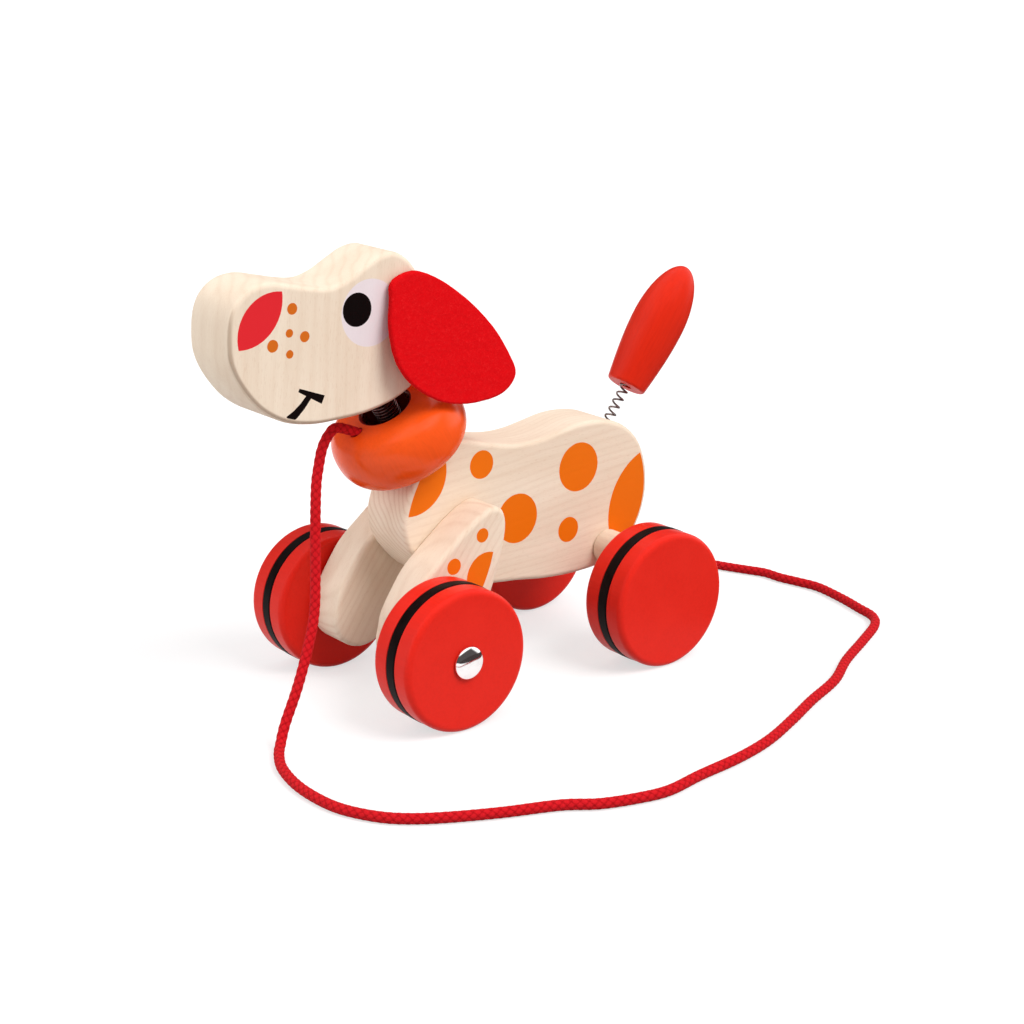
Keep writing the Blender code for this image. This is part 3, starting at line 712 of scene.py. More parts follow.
def stroke_group() -> bpy.types.NodeTree:
    """A printed stroke from a start to an end in side view, with flat ends and a half width at each end.

    The share along it is the dot product with the line over its squared length, and the mask is 1 where the
    distance from the line is under the half width at that share.
    """
    nodes, given, out = new_group(
        "Printed stroke",
        {"Vector": "vector", "Start": "vector", "End": "vector", "Start Width": "float", "End Width": "float"},
        {"Mask": "float"},
    )
    side_view = (1.0, 0.0, 1.0)
    offset = nodes.vector("MULTIPLY", nodes.vector("SUBTRACT", given["Vector"], given["Start"]), side_view)
    line = nodes.vector("MULTIPLY", nodes.vector("SUBTRACT", given["End"], given["Start"]), side_view)
    along = nodes.vector("DOT_PRODUCT", offset, line, out="Value")
    square = nodes.vector("DOT_PRODUCT", line, line, out="Value")
    share = nodes.math("DIVIDE", along, square)
    nearest = nodes.vector("SCALE", line, share)
    distance = nodes.vector("LENGTH", nodes.vector("SUBTRACT", offset, nearest), out="Value")
    change = nodes.math("SUBTRACT", given["End Width"], given["Start Width"])
    half = nodes.math("MULTIPLY_ADD", change, share, given["Start Width"])
    ragged = nodes.noise(given["Vector"], 1100.0, 1.0)
    distance = nodes.math("MULTIPLY_ADD", ragged, 0.00012, distance)
    mask = nodes.spread(nodes.math("SUBTRACT", half, distance), -0.00012, 0.00004)
    ends = nodes.math("MULTIPLY", nodes.spread(share, -0.01, 0.01), nodes.spread(share, 1.01, 0.99))
    nodes.feed(out.inputs["Mask"], nodes.math("MULTIPLY", mask, ends))
    return nodes.tree


def paint_group() -> bpy.types.NodeTree:
    """A film of lacquer on turned wood: the grain drawn faintly through it, brush lines and slight unevenness."""
    nodes, given, out = new_group(
        "Lacquer film",
        {"Vector": "vector", "Colour": "colour", "Grain": "float", "Roughness": "float"},
        {"Colour": "colour", "Roughness": "float", "Normal": "vector"},
    )
    grain = nodes.noise(nodes.vector("MULTIPLY", given["Vector"], (60.0, 900.0, 900.0)), 1.0, 4.0, 0.6)
    broad = nodes.noise(given["Vector"], 60.0, 2.0)
    wave = nodes.noise(given["Vector"], 330.0, 1.0)
    depth = nodes.math("MULTIPLY", nodes.spread(grain, 0.35, 0.75), given["Grain"])
    dark = nodes.mix(1.0, given["Colour"], (0.72, 0.62, 0.60), "MULTIPLY")
    colour = nodes.mix(depth, given["Colour"], dark)
    light = nodes.mix(1.0, given["Colour"], (1.06, 1.25, 1.3), "MULTIPLY")
    colour = nodes.mix(nodes.spread(broad, 0.45, 0.75, 0.0, 0.35), colour, light)
    rough = nodes.math("MULTIPLY_ADD", nodes.math("SUBTRACT", broad, 0.5), 0.16, given["Roughness"])
    height = nodes.math("MULTIPLY_ADD", grain, given["Grain"], nodes.math("MULTIPLY", wave, 0.8))
    for key, value in (("Colour", colour), ("Roughness", rough), ("Normal", nodes.bump(height, 0.00006, 0.6))):
        nodes.feed(out.inputs[key], value)
    return nodes.tree


def felt_group() -> bpy.types.NodeTree:
    """Pressed felt: matted fibres as fine noise under coarser clumps, lighter where fibres stand up."""
    nodes, given, out = new_group(
        "Pressed felt",
        {"Vector": "vector", "Colour": "colour", "Tip": "colour"},
        {"Colour": "colour", "Normal": "vector"},
    )
    warp = nodes.noise(given["Vector"], 260.0, 2.0, 0.5, "Color")
    warped = nodes.vector("ADD", given["Vector"], nodes.vector("SCALE", warp, 0.004))
    fibres = nodes.noise(nodes.vector("MULTIPLY", warped, (2600.0, 1500.0, 900.0)), 1.0, 3.0, 0.7)
    crossed = nodes.noise(nodes.vector("MULTIPLY", warped, (800.0, 1500.0, 2700.0)), 1.0, 3.0, 0.7)
    clumps = nodes.noise(given["Vector"], 420.0, 3.0, 0.6)
    matted = nodes.math("MAXIMUM", fibres, crossed)
    height = nodes.math("MULTIPLY_ADD", clumps, 0.8, matted)
    bright = nodes.math("MULTIPLY", nodes.spread(matted, 0.5, 0.75), nodes.spread(clumps, 0.3, 0.75, 0.35, 1.0))
    nodes.feed(out.inputs["Colour"], nodes.mix(bright, given["Colour"], given["Tip"]))
    nodes.feed(out.inputs["Normal"], nodes.bump(height, 0.0003, 0.7))
    return nodes.tree


def yarn_group() -> bpy.types.NodeTree:
    """Braided yarn: painted shade in the grooves between the strands, with fine fibres and a slow change of tone along
    the cord.
    """
    nodes, given, out = new_group(
        "Braided yarn",
        {"Vector": "vector", "Crossing": "float", "Colour": "colour", "Deep": "colour", "Tip": "colour"},
        {"Colour": "colour", "Normal": "vector"},
    )
    fibres = nodes.noise(given["Vector"], 5200.0, 2.0, 0.6)
    clumps = nodes.noise(given["Vector"], 700.0, 2.0)
    # Painted shade: the grooves between the strands are darkened towards the deep colour.
    deep = nodes.spread(given["Crossing"], 0.15, 0.85, 1.0, 0.0)
    colour = nodes.mix(deep, given["Colour"], given["Deep"])
    bright = nodes.math("MULTIPLY", nodes.spread(fibres, 0.5, 0.7), nodes.spread(clumps, 0.35, 0.7, 0.2, 0.8))
    colour = nodes.mix(nodes.math("MULTIPLY", bright, given["Crossing"]), colour, given["Tip"])
    nodes.feed(out.inputs["Colour"], colour)
    nodes.feed(out.inputs["Normal"], nodes.bump(nodes.math("ADD", fibres, clumps), 0.00012, 0.8))
    return nodes.tree


def scuff_group() -> bpy.types.NodeTree:
    """Fine scuffs of handled rubber or metal: a value for colour and one for roughness, from stretched noise."""
    nodes, given, out = new_group(
        "Fine scuffs",
        {"Vector": "vector", "Roughness": "float", "Depth": "float"},
        {"Tone": "float", "Roughness": "float", "Normal": "vector"},
    )
    lines = nodes.noise(nodes.vector("MULTIPLY", given["Vector"], (700.0, 4000.0, 700.0)), 1.0, 3.0, 0.6)
    blotch = nodes.noise(given["Vector"], 240.0, 3.0)
    rough = nodes.math("MULTIPLY_ADD", nodes.math("SUBTRACT", blotch, 0.5), 0.2, given["Roughness"])
    height = nodes.math("MULTIPLY", nodes.math("ADD", lines, blotch), given["Depth"])
    for key, value in (("Tone", blotch), ("Roughness", rough), ("Normal", nodes.bump(height, 0.00005, 0.5))):
        nodes.feed(out.inputs[key], value)
    return nodes.tree


@dataclass
class Groups:
    """The node groups that the materials share, each built once."""

    beech: bpy.types.NodeTree
    spot: bpy.types.NodeTree
    stroke: bpy.types.NodeTree
    paint: bpy.types.NodeTree
    felt: bpy.types.NodeTree
    yarn: bpy.types.NodeTree
    scuffs: bpy.types.NodeTree

    @classmethod
    def build(cls) -> Groups:
        """Builds them all."""
        return cls(beech_group(), spot_group(), stroke_group(), paint_group(), felt_group(), yarn_group(), scuff_group())


def new_material(name: str, colour: Colour) -> tuple[bpy.types.Material, Nodes, bpy.types.Node]:
    """A material with its nodes and its Principled shader.

    Args:
        name: Name of the finish.
        colour: Its colour in the viewport.

    Returns:
        The material, its nodes and the shader.
    """
    made = bpy.data.materials.new(name)
    made.use_nodes = True
    made.diffuse_color = (*colour, 1.0)
    return made, Nodes(made.node_tree), made.node_tree.nodes["Principled BSDF"]


@dataclass(frozen=True)
class Spot:
    """A printed spot in the dog's side view, in millimetres from a named place."""

    x: float
    z: float
    radius: float


@dataclass(frozen=True)
class Stroke:
    """A printed stroke in the side view, with its half width at each end."""

    start: tuple[float, float]
    end: tuple[float, float]
    widths: tuple[float, float]


@dataclass(frozen=True)
class Print:
    """What is printed in one colour on the two flat faces of a board."""

    colour: Colour
    spots: tuple[Spot, ...] = ()
    strokes: tuple[Stroke, ...] = ()
    lens: tuple[Spot, Spot] | None = None
    cover: float = 1.0


@dataclass(frozen=True)
class Beech:
    """Sanded beech under a thin matt coat. The grain runs along the X axis of a log that is turned and moved."""

    name: str
    pith: tuple[float, float, float]
    turn: tuple[float, float, float]
    ring: float = 0.0026
    rings: float = 0.16
    end_rings: float = 0.50
    flecks: float = 0.22
    pale: Colour = (0.91, 0.765, 0.612)
    deep: Colour = (0.73, 0.535, 0.385)
    roughness: float = 0.55
    # Painted shade: how strongly the rounded edges that face forward and down are darkened, where less light falls.
    worn: float = 0.0  # darker line on the rounded edges that face forward and down

    def material(self, groups: Groups, prints: Sequence[Print] = (), origin: Array | None = None, face: float = 0.0) -> bpy.types.Material:
        """The wood, with prints on its flat faces.

        Args:
            groups: The shared node groups.
            prints: What is printed on the faces.
            origin: The place that the prints are measured from, in metres.
            face: Distance of the printed faces from the middle plane or, for a leg, of its outer face.

        Returns:
            The material.
        """
        made, nodes, shader = new_material(self.name, self.pale)
        coordinates = nodes.add("TexCoord")
        place = coordinates.outputs["Object"]
        turn = tuple(math.radians(angle) for angle in self.turn)
        log = nodes.add("Mapping", {"Vector": place, "Location": self.pith, "Rotation": turn}, vector_type="TEXTURE")
        grain = Euler(turn).to_matrix() @ Vector((1.0, 0.0, 0.0))
        facing = nodes.vector("DOT_PRODUCT", coordinates.outputs["Normal"], tuple(grain), out="Value")
        rings = nodes.spread(nodes.math("ABSOLUTE", facing), 0.3, 0.9, self.rings, self.end_rings)
        wood = nodes.use(
            groups.beech, Vector=log.outputs[0], Ring=self.ring, Rings=rings, Flecks=self.flecks, Pale=self.pale, Deep=self.deep
        )
        colour = wood["Colour"]
        printed: object = 0.0
        if prints:
            height = nodes.math("ABSOLUTE", nodes.add("SeparateXYZ", {"Vector": place}).outputs["Y"])
            # Painted shade: a darker brown line on the rounded edges that face forward and down.
            under = nodes.vector("DOT_PRODUCT", coordinates.outputs["Normal"], (0.62, 0.0, -0.78), out="Value")
            line = nodes.math("MULTIPLY", nodes.spread(under, 0.05, 0.35), nodes.spread(under, 0.80, 0.60))
            line = nodes.math("MULTIPLY", line, nodes.spread(height, (face - 1.6) * MM, (face - 0.9) * MM))
            colour = nodes.mix(nodes.math("MULTIPLY", line, self.worn), colour, (0.30, 0.17, 0.10))
            on_face = nodes.spread(height, (face - 0.04) * MM, (face - 0.01) * MM)
            for each in prints:
                mask = self.print_mask(nodes, groups, each, place, origin)
                mask = nodes.math("MULTIPLY", mask, on_face)
                colour = nodes.mix(nodes.math("MULTIPLY", mask, each.cover), colour, each.colour)
                printed = nodes.math("MAXIMUM", mask, printed)
        shine = nodes.math("MULTIPLY_ADD", wood["Height"], 0.10, self.roughness - 0.05)
        if prints:
            shine = nodes.math("MULTIPLY_ADD", printed, -0.14, shine)
        for key, value in (("Base Color", colour), ("Roughness", shine), ("Normal", wood["Normal"])):
            nodes.feed(shader.inputs[key], value)
        shader.inputs["Specular IOR Level"].default_value = 0.10
        return made

    @staticmethod
    def print_mask(nodes: Nodes, groups: Groups, each: Print, place: object, origin: Array) -> bpy.types.NodeSocket:
        """The mask of everything that is printed in one colour.

        Args:
            nodes: Nodes of the material.
            groups: The shared node groups.
            each: The print.
            place: Socket of the place on the piece.
            origin: Zero of the print, in metres.

        Returns:
            The mask's socket.
        """

        def at(x: float, z: float) -> tuple[float, float, float]:
            """A place of the print in the row frame."""
            return (float(origin[0] + x * MM), 0.0, float(origin[2] + z * MM))

        def spot(one: Spot) -> bpy.types.NodeSocket:
            """Mask of one spot."""
            return nodes.use(groups.spot, Vector=place, Centre=at(one.x, one.z), Radius=one.radius * MM)["Mask"]

        masks = [spot(one) for one in each.spots]
        for one in each.strokes:
            values = {"Start": at(*one.start), "End": at(*one.end)}
            values |= {"Start_Width": one.widths[0] * MM, "End_Width": one.widths[1] * MM}
            masks.append(nodes.use(groups.stroke, Vector=place, **values)["Mask"])
        if each.lens:
            masks.append(nodes.math("MULTIPLY", spot(each.lens[0]), spot(each.lens[1])))
        total = masks[0]
        for mask in masks[1:]:
            total = nodes.math("MAXIMUM", total, mask)
        return total


@dataclass(frozen=True)
class Lacquer:
    """Coloured lacquer on a turned piece, whose grain runs along an axis given by a rotation."""

    name: str
    colour: Colour
    roughness: float
    coat: float
    grain: float
    turn: tuple[float, float, float] = (0.0, 0.0, 90.0)
    specular: float = 0.35

    def material(self, groups: Groups, inside: tuple[Array, Array, float, Colour] | None = None) -> bpy.types.Material:
        """The lacquer, darkened inside a bore as painted shade if asked.

        Args:
            groups: The shared node groups.
            inside: A place on the bore's axis, its direction, its radius in metres and the colour of the painted shade
                there.

        Returns:
            The material.
        """
        made, nodes, shader = new_material(self.name, self.colour)
        place = nodes.add("TexCoord").outputs["Object"]
        turn = tuple(math.radians(angle) for angle in self.turn)
        along = nodes.add("Mapping", {"Vector": place, "Rotation": turn}, vector_type="TEXTURE").outputs[0]
        film = nodes.use(groups.paint, Vector=along, Colour=self.colour, Grain=self.grain, Roughness=self.roughness)
        colour = film["Colour"]
        if inside:
            # Painted shade: inside the bore's radius the lacquer turns to the dark colour.
            middle, axis, radius, painted_bore_shade = inside
            offset = nodes.vector("SUBTRACT", place, tuple(map(float, middle)))
            crossed = nodes.vector("CROSS_PRODUCT", offset, tuple(map(float, axis)))
            distance = nodes.vector("LENGTH", crossed, out="Value")
            colour = nodes.mix(nodes.spread(distance, radius, radius + 0.0004, 1.0, 0.0), colour, painted_bore_shade)
        for key, value in (("Base Color", colour), ("Roughness", film["Roughness"]), ("Normal", film["Normal"])):
            nodes.feed(shader.inputs[key], value)
        shader.inputs["Specular IOR Level"].default_value = self.specular
        shader.inputs["Coat Weight"].default_value = self.coat
        shader.inputs["Coat Roughness"].default_value = 0.12
        return made


@dataclass(frozen=True)
class Scuffed:
    """Rubber or metal with fine scuffs."""

    name: str
    colour: Colour
    second: Colour
    roughness: float
    metallic: float
    depth: float
    specular: float = 0.5

    def material(self, groups: Groups) -> bpy.types.Material:
        """The material."""
        made, nodes, shader = new_material(self.name, self.colour)
        place = nodes.add("TexCoord").outputs["Object"]
        marks = nodes.use(groups.scuffs, Vector=place, Roughness=self.roughness, Depth=self.depth)
        colour = nodes.mix(nodes.spread(marks["Tone"], 0.4, 0.7), self.colour, self.second)
        for key, value in (("Base Color", colour), ("Roughness", marks["Roughness"]), ("Normal", marks["Normal"])):
            nodes.feed(shader.inputs[key], value)
        shader.inputs["Metallic"].default_value = self.metallic
        shader.inputs["Specular IOR Level"].default_value = self.specular
        return made


@dataclass(frozen=True)
class Felt:
    """Dyed wool felt."""

    name: str
    colour: Colour
    tip: Colour

    def material(self, groups: Groups) -> bpy.types.Material:
        """The material."""
        made, nodes, shader = new_material(self.name, self.colour)
        place = nodes.add("TexCoord").outputs["Object"]
        wool = nodes.use(groups.felt, Vector=place, Colour=self.colour, Tip=self.tip)
        nodes.feed(shader.inputs["Base Color"], wool["Colour"])
        nodes.feed(shader.inputs["Normal"], wool["Normal"])
        shader.inputs["Roughness"].default_value = 1.0
        shader.inputs["Specular IOR Level"].default_value = 0.0
        shader.inputs["Sheen Weight"].default_value = 0.12
        shader.inputs["Sheen Roughness"].default_value = 0.45
        shader.inputs["Sheen Tint"].default_value = (1.0, 0.25, 0.2, 1.0)
        return made


@dataclass(frozen=True)
class Yarn:
    """Dyed cotton yarn of the braid."""

    name: str
    colour: Colour
    # Colour of the painted shade in the braid's grooves.
    deep: Colour
    tip: Colour

    def material(self, groups: Groups) -> bpy.types.Material:
        """The material, which reads the mesh's own attribute "crossing"."""
        made, nodes, shader = new_material(self.name, self.colour)
        place = nodes.add("TexCoord").outputs["Object"]
        crossing = nodes.add("Attribute", attribute_name="crossing").outputs["Fac"]
        braid = nodes.use(
            groups.yarn, Vector=place, Crossing=crossing, Colour=self.colour, Deep=self.deep, Tip=self.tip
        )
        nodes.feed(shader.inputs["Base Color"], braid["Colour"])
        nodes.feed(shader.inputs["Normal"], braid["Normal"])
        shader.inputs["Roughness"].default_value = 0.9
        shader.inputs["Specular IOR Level"].default_value = 0.12
        shader.inputs["Sheen Weight"].default_value = 0.08
        shader.inputs["Sheen Tint"].default_value = (1.0, 0.35, 0.3, 1.0)
        return made


RED_WHEEL = Lacquer("Red wheel lacquer", (0.80, 0.020, 0.010), 0.36, 0.0, 0.20, specular=0.14)
RED_TAIL = Lacquer("Red tail lacquer", (0.72, 0.020, 0.004), 0.38, 0.0, 0.25, turn=(0.0, -126.0, 0.0), specular=0.16)
ORANGE_COLLAR = Lacquer("Orange collar lacquer", (0.92, 0.092, 0.009), 0.24, 0.0, 0.22, turn=(0.0, -60.0, 0.0), specular=0.26)
RUBBER = Scuffed("Black rubber", (0.005, 0.002, 0.002), (0.009, 0.004, 0.004), 0.50, 0.0, 1.0, 0.06)
CHROME = Scuffed("Cap chrome", (0.86, 0.84, 0.84), (0.80, 0.78, 0.78), 0.07, 1.0, 0.02)
STEEL = Scuffed("Spring steel", (0.34, 0.29, 0.29), (0.22, 0.18, 0.18), 0.28, 1.0, 0.3)
# A darker copy of the spring steel: painted shade for the coil that sits deep in the collar.
SHADED_NECK_STEEL = Scuffed("Neck spring steel", (0.15, 0.09, 0.09), (0.10, 0.05, 0.05), 0.22, 1.0, 0.3)
RED_FELT = Felt("Red felt", (0.70, 0.004, 0.007), (0.84, 0.020, 0.022))
# The yarn's second colour is the painted shade of the braid's grooves.
RED_YARN = Yarn("Red yarn", (0.64, 0.009, 0.015), (0.38, 0.003, 0.006), (0.76, 0.028, 0.034))
SPOT_ORANGE: Colour = (0.86, 0.168, 0.004)
FRECKLE_ORANGE: Colour = (0.68, 0.150, 0.012)
NOSE_RED: Colour = (0.78, 0.022, 0.030)
PRINT_BLACK: Colour = (0.006, 0.003, 0.003)
EYE_WHITE: Colour = (0.84, 0.76, 0.86)


# ---------------------------------------------------------------------------------------------------------
# Running gear
# ---------------------------------------------------------------------------------------------------------


@dataclass
class RunningGear:
    """Wheels with their bands, the axles, their caps and the spacers."""

    places: Places
    groups: Groups
    leg_face: float = 32.4  # outer face of a leg from the middle plane
    leg_back: float = 13.9
    play: float = 1.35
    radius: float = 30.0
    width: float = 23.7
    edge: float = 2.6
    band_width: float = 5.4
    band_depth: float = 2.8
    band_proud: float = 0.15
    throw: float = 14.1  # of the rear axle over its wheels' centres
    front_bore: float = 3.3
    rear_bore: float = 4.3
    rear_seat: float = 14.3
    cap_radius: float = 7.0
    cap_height: float = 3.0
    cap_skirt: float = 0.5
    cap_grip: float = 1.5
    spacer_radius: float = 7.8

    @property
    def back(self) -> float:
        """Inner face of a wheel from the middle plane."""
        return self.leg_face + self.play

    def build(self) -> list[bpy.types.Object]:
        """Builds and dresses every piece.

        Returns:
            The new pieces.
        """
        red, rubber = RED_WHEEL.material(self.groups), RUBBER.material(self.groups)
        chrome = CHROME.material(self.groups)
        spacer_wood = Beech("Spacer beech", (0.0, 0.02, 0.02), (0.0, 0.0, 90.0)).material(self.groups)
        front, rear = self.places.front_axle, self.places.rear_axle
        low_rear = rear - np.array([0.0, 0.0, self.throw * MM])
        made = []
        for hand in Hand:
            axis = hand.value * SIDE
            for end, centre in (("front", front), ("rear", low_rear)):
                body = f"front_wheel_{hand.word}" if end == "front" else "rear_wheelset"
                wheel = self.wheel(f"{end}_wheel_{hand.word}", centre, axis, end == "front", red)
                band = make_piece(
                    f"{end}_band_{hand.word}", turned(self.band_profile(), centre, axis, 160, ring=True), rubber, "black_rubber"
                )
                for piece, node in ((wheel, f"wheel_{end}_{hand.word}"), (band, f"band_{end}_{hand.word}")):
                    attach(piece, body)
                    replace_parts(piece, node)
                made += [wheel, band]
            cap = make_piece(f"cap_{hand.word}", turned(self.cap_profile(), front, axis, 96), chrome, "cap_chrome")
            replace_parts(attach(cap, "chassis"), f"axle_cap_{hand.word}")
            ring = turned(self.spacer_profile(), rear, axis, 64, ring=True)
            spacer = make_piece(f"spacer_{hand.word}", ring, spacer_wood, "dowel_wood")
            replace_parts(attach(spacer, "rear_wheelset"), f"rear_spacer_{hand.word}")
            made += [cap, spacer]
        return made

    def wheel(self, name: str, centre: Array, axis: Array, bored: bool, finish: bpy.types.Material) -> bpy.types.Object:
        """A wheel with eased rims and a groove: bored through in front, and blind off its centre behind."""
        low, high = self.back, self.back + self.width
        middle, half = (low + high) / 2, (self.band_width + GAP) / 2
        floor = self.radius - self.band_depth
        outside = [
            (self.radius, low, self.edge), (self.radius, middle - half, 0.25), (floor, middle - half, 0.3),
            (floor, middle + half, 0.3), (self.radius, middle + half, 0.25), (self.radius, high, self.edge),
        ]
        if bored:
            corners = [*outside, (self.front_bore, high, 0.3), (self.front_bore, low, 0.3)]
            return make_piece(name, turned(eased(corners, 8, closed=True), centre, axis, 160, ring=True), finish, "red_wheel_paint")
        profile = eased([(0.0, low, 0.0), *outside, (0.0, high, 0.0)], 8)
        wheel = make_piece(name, turned(profile, centre, axis, 160), finish, "red_wheel_paint")
        mouth = self.places.rear_axle + (low - 5.0) * MM * axis
        drill(wheel, mouth, axis, self.rear_bore, 5.0 + self.rear_seat)
        return wheel

    def band_profile(self) -> Array:
        """Profile of the flat rubber ring with soft shoulders."""
        middle = self.back + self.width / 2
        low, high = middle - self.band_width / 2, middle + self.band_width / 2
        inner, outer = self.radius - self.band_depth + GAP, self.radius + self.band_proud
        return eased([(inner, low, 0.3), (outer, low, 0.7), (outer, high, 0.7), (inner, high, 0.3)], 6, closed=True)

    def cap_profile(self) -> Array:
        """Profile of the pressed cap: a hole for the axle, a short skirt and a dome that is a quarter ellipse."""
        foot = self.back + self.width + GAP
        roof = foot + self.cap_grip
        angle = np.linspace(0.0, math.pi / 2, 24)[1:]
        dome = np.stack(
            [
                self.cap_radius * np.cos(angle) ** 0.92,
                foot + self.cap_skirt + (self.cap_height - self.cap_skirt) * np.sin(angle),
            ],
            axis=1,
        )
        dome[-1, 0] = 0.0
        inside = [(0.0, roof, 0.0), (self.front_bore, roof, 0.1), (self.front_bore, foot, 0.15), (self.cap_radius, foot, 0.2)]
        skirt = eased([*inside, (self.cap_radius, foot + self.cap_skirt, 0.0)], 4)
        return np.vstack([skirt, dome])

    def spacer_profile(self) -> Array:
        """Profile of the wooden ring between the body and a rear wheel."""
        low, high = self.leg_back, self.back - GAP
        corners = [(self.spacer_radius, low, 1.0), (self.spacer_radius, high, 1.0), (self.rear_bore, high, 0.3), (self.rear_bore, low, 0.3)]
        return eased(corners, 6, closed=True)


# ---------------------------------------------------------------------------------------------------------
# Boards
# ---------------------------------------------------------------------------------------------------------

OUTLINE_STEP = 0.0007  # of the boards' outlines, in metres
EDGE = 2.2  # rounding of the boards' edges
EASE = 0.0031  # least bend of an outline, in metres, so that the rounded edge fits


@dataclass
class Body:
    """The body board and the two legs, with the dowels that join them."""

    places: Places
    groups: Groups
    thickness: float = 27.2
    leg_thickness: float = 18.5
    leg_end_radius: float = 14.4
    leg_end_ahead: float = 1.0
    pin_depth: float = 14.3
    neck_reach: tuple[float, float] = (8.6, 13.7)
    neck_foot: tuple[float, float] = (-16.2, 70.5)
    tail_root: tuple[float, float] = (-12.5, 52.5)
    socket_radius: float = 5.8
    socket_depth: float = 11.0
    dowels: tuple = ((-31.0, 40.0), (-18.0, 27.0))
    dowel_bore: float = 4.3

    CHEST = (
        (-3.9, 56.5), (-1.2, 46.5), (-2.8, 37.5), (-8.2, 28.5), (-17.6, 19.4), (-31.0, 13.6), (-47.0, 10.5),
    )
    REAR = (
        (49.5, -5.6), (33.5, -8.1), (16.5, -9.2), (0.0, -8.0), (-12.3, -2.6), (-20.0, 7.5), (-23.9, 17.7),
        (-24.7, 28.0), (-22.9, 37.9), (-19.0, 46.0), (-12.5, 52.5), (-3.8, 56.9), (6.1, 58.9), (16.5, 59.1),
        (27.5, 57.4), (38.5, 55.9),
    )
    SADDLE = ((-62.0, 70.2), (-51.0, 72.2), (-40.0, 75.3), (-31.5, 77.4))
    LEG_FRONT = ((12.7, 12.0), (7.6, 20.5), (0.5, 29.7), (-8.9, 37.4), (-18.9, 44.9), (-27.7, 50.1))
    LEG_TOP = ((-34.2, 52.0), (-38.9, 49.8), (-40.5, 43.8))
    LEG_REAR = ((-39.3, 35.5), (-35.9, 24.5), (-31.2, 13.0), (-24.0, 1.0))
    BODY_PRINT = Print(
        SPOT_ORANGE,
        (
            Spot(-42.0, 64.8, 6.2), Spot(-95.5, 53.7, 11.0), Spot(-61.0, 37.2, 11.0), Spot(-89.7, 26.2, 5.7),
            Spot(-142.6, 26.2, 29.6), Spot(-6.4, 66.4, 17.2),
        ),
    )
    LEG_PRINT = Print(
        SPOT_ORANGE, (Spot(-27.5, 41.4, 3.1), Spot(-12.6, 31.0, 3.5)), lens=(Spot(-29.3, 23.5, 10.2), Spot(25.0, 48.0, 60.0))
    )

    def build(self) -> list[bpy.types.Object]:
        """Builds and dresses the boards.

        Returns:
            The new pieces.
        """
        body = self.body_board()
        legs = [self.leg(hand) for hand in Hand]
        for piece, node in ((body, "body_block"), (legs[0], "front_leg_left"), (legs[1], "front_leg_right")):
            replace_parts(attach(piece, "chassis"), node)
        return [body, *legs]

    def body_board(self) -> bpy.types.Object:
        """The body board with its sockets and bores."""
        places, half = self.places, self.thickness / 2
        front = places.front_axle
        foot = front + np.array([self.neck_foot[0], 0.0, self.neck_foot[1]]) * MM
        before, behind = self.neck_reach
        corners = [foot + before * MM * places.neck_across, foot - behind * MM * places.neck_across]
        route = np.vstack([
            corners[0][[0, 2]],
            places.side_view(self.CHEST, front),
            places.side_view(self.REAR, places.rear_axle),
            places.side_view(self.SADDLE, front),
            corners[1][[0, 2]],
        ])
        outline = ease_outline(evenly(smooth(route, 12, closed=False), OUTLINE_STEP, closed=True), EASE)
        wood = Beech("Body beech", (-0.02, 0.078, 0.148), (0.0, 3.0, 0.0))
        finish = wood.material(self.groups, (self.BODY_PRINT,), front, half)
        body = make_piece("body_board", board(outline, -half, half, EDGE), finish, "plain_wood")
        drill(body, foot + 5 * MM * places.neck_axis, -places.neck_axis, self.socket_radius, 5.0 + self.socket_depth)
        root = places.rear_axle + np.array([self.tail_root[0], 0.0, self.tail_root[1]]) * MM
        drill(body, root + 5 * MM * places.tail_axis, -places.tail_axis, 2.8, 15.0, 32)
        for centre in (places.rear_axle, *(front + np.array([x, 0.0, z]) * MM for x, z in self.dowels)):
            drill(body, centre - (half + 5.0) * MM * SIDE, SIDE, 4.3, self.thickness + 10.0)
        return body

    def leg(self, hand: Hand) -> bpy.types.Object:
        """One leg: a round end about the axle, then its own curve."""
        front = self.places.front_axle
        end = arc(self.leg_end_radius, -160.0, 20.0, 24) + (self.leg_end_ahead, 0.0)
        upper = smooth([end[-1], *self.LEG_FRONT, *self.LEG_TOP, *self.LEG_REAR, end[0]], 12, closed=False)
        outline = self.places.side_view(np.vstack([end, upper[1:-1]]), front)
        outline = ease_outline(evenly(outline, OUTLINE_STEP, closed=True), EASE)
        back = self.thickness / 2 + GAP
        face = back + self.leg_thickness
        low, high = sorted((hand.value * back, hand.value * face))
        wood = Beech(f"Leg beech {hand.word}", (0.05, 0.03 * hand.value, 0.16), (0.0, 52.0, 0.0), rings=0.22, ring=0.0034)
        finish = wood.material(self.groups, (self.LEG_PRINT,), front, face)
        leg = make_piece(f"leg_{hand.word}", board(outline, low, high, EDGE), finish, "plain_wood")
        start = hand.value * (back - 5.0) * MM * SIDE
        axis = hand.value * SIDE
        drill(leg, front + (face + 5.0) * MM * axis, -axis, 3.3, 5.0 + self.pin_depth)
        for x, z in self.dowels:
            drill(leg, front + np.array([x, 0.0, z]) * MM + start, axis, self.dowel_bore, 15.3)
        return leg


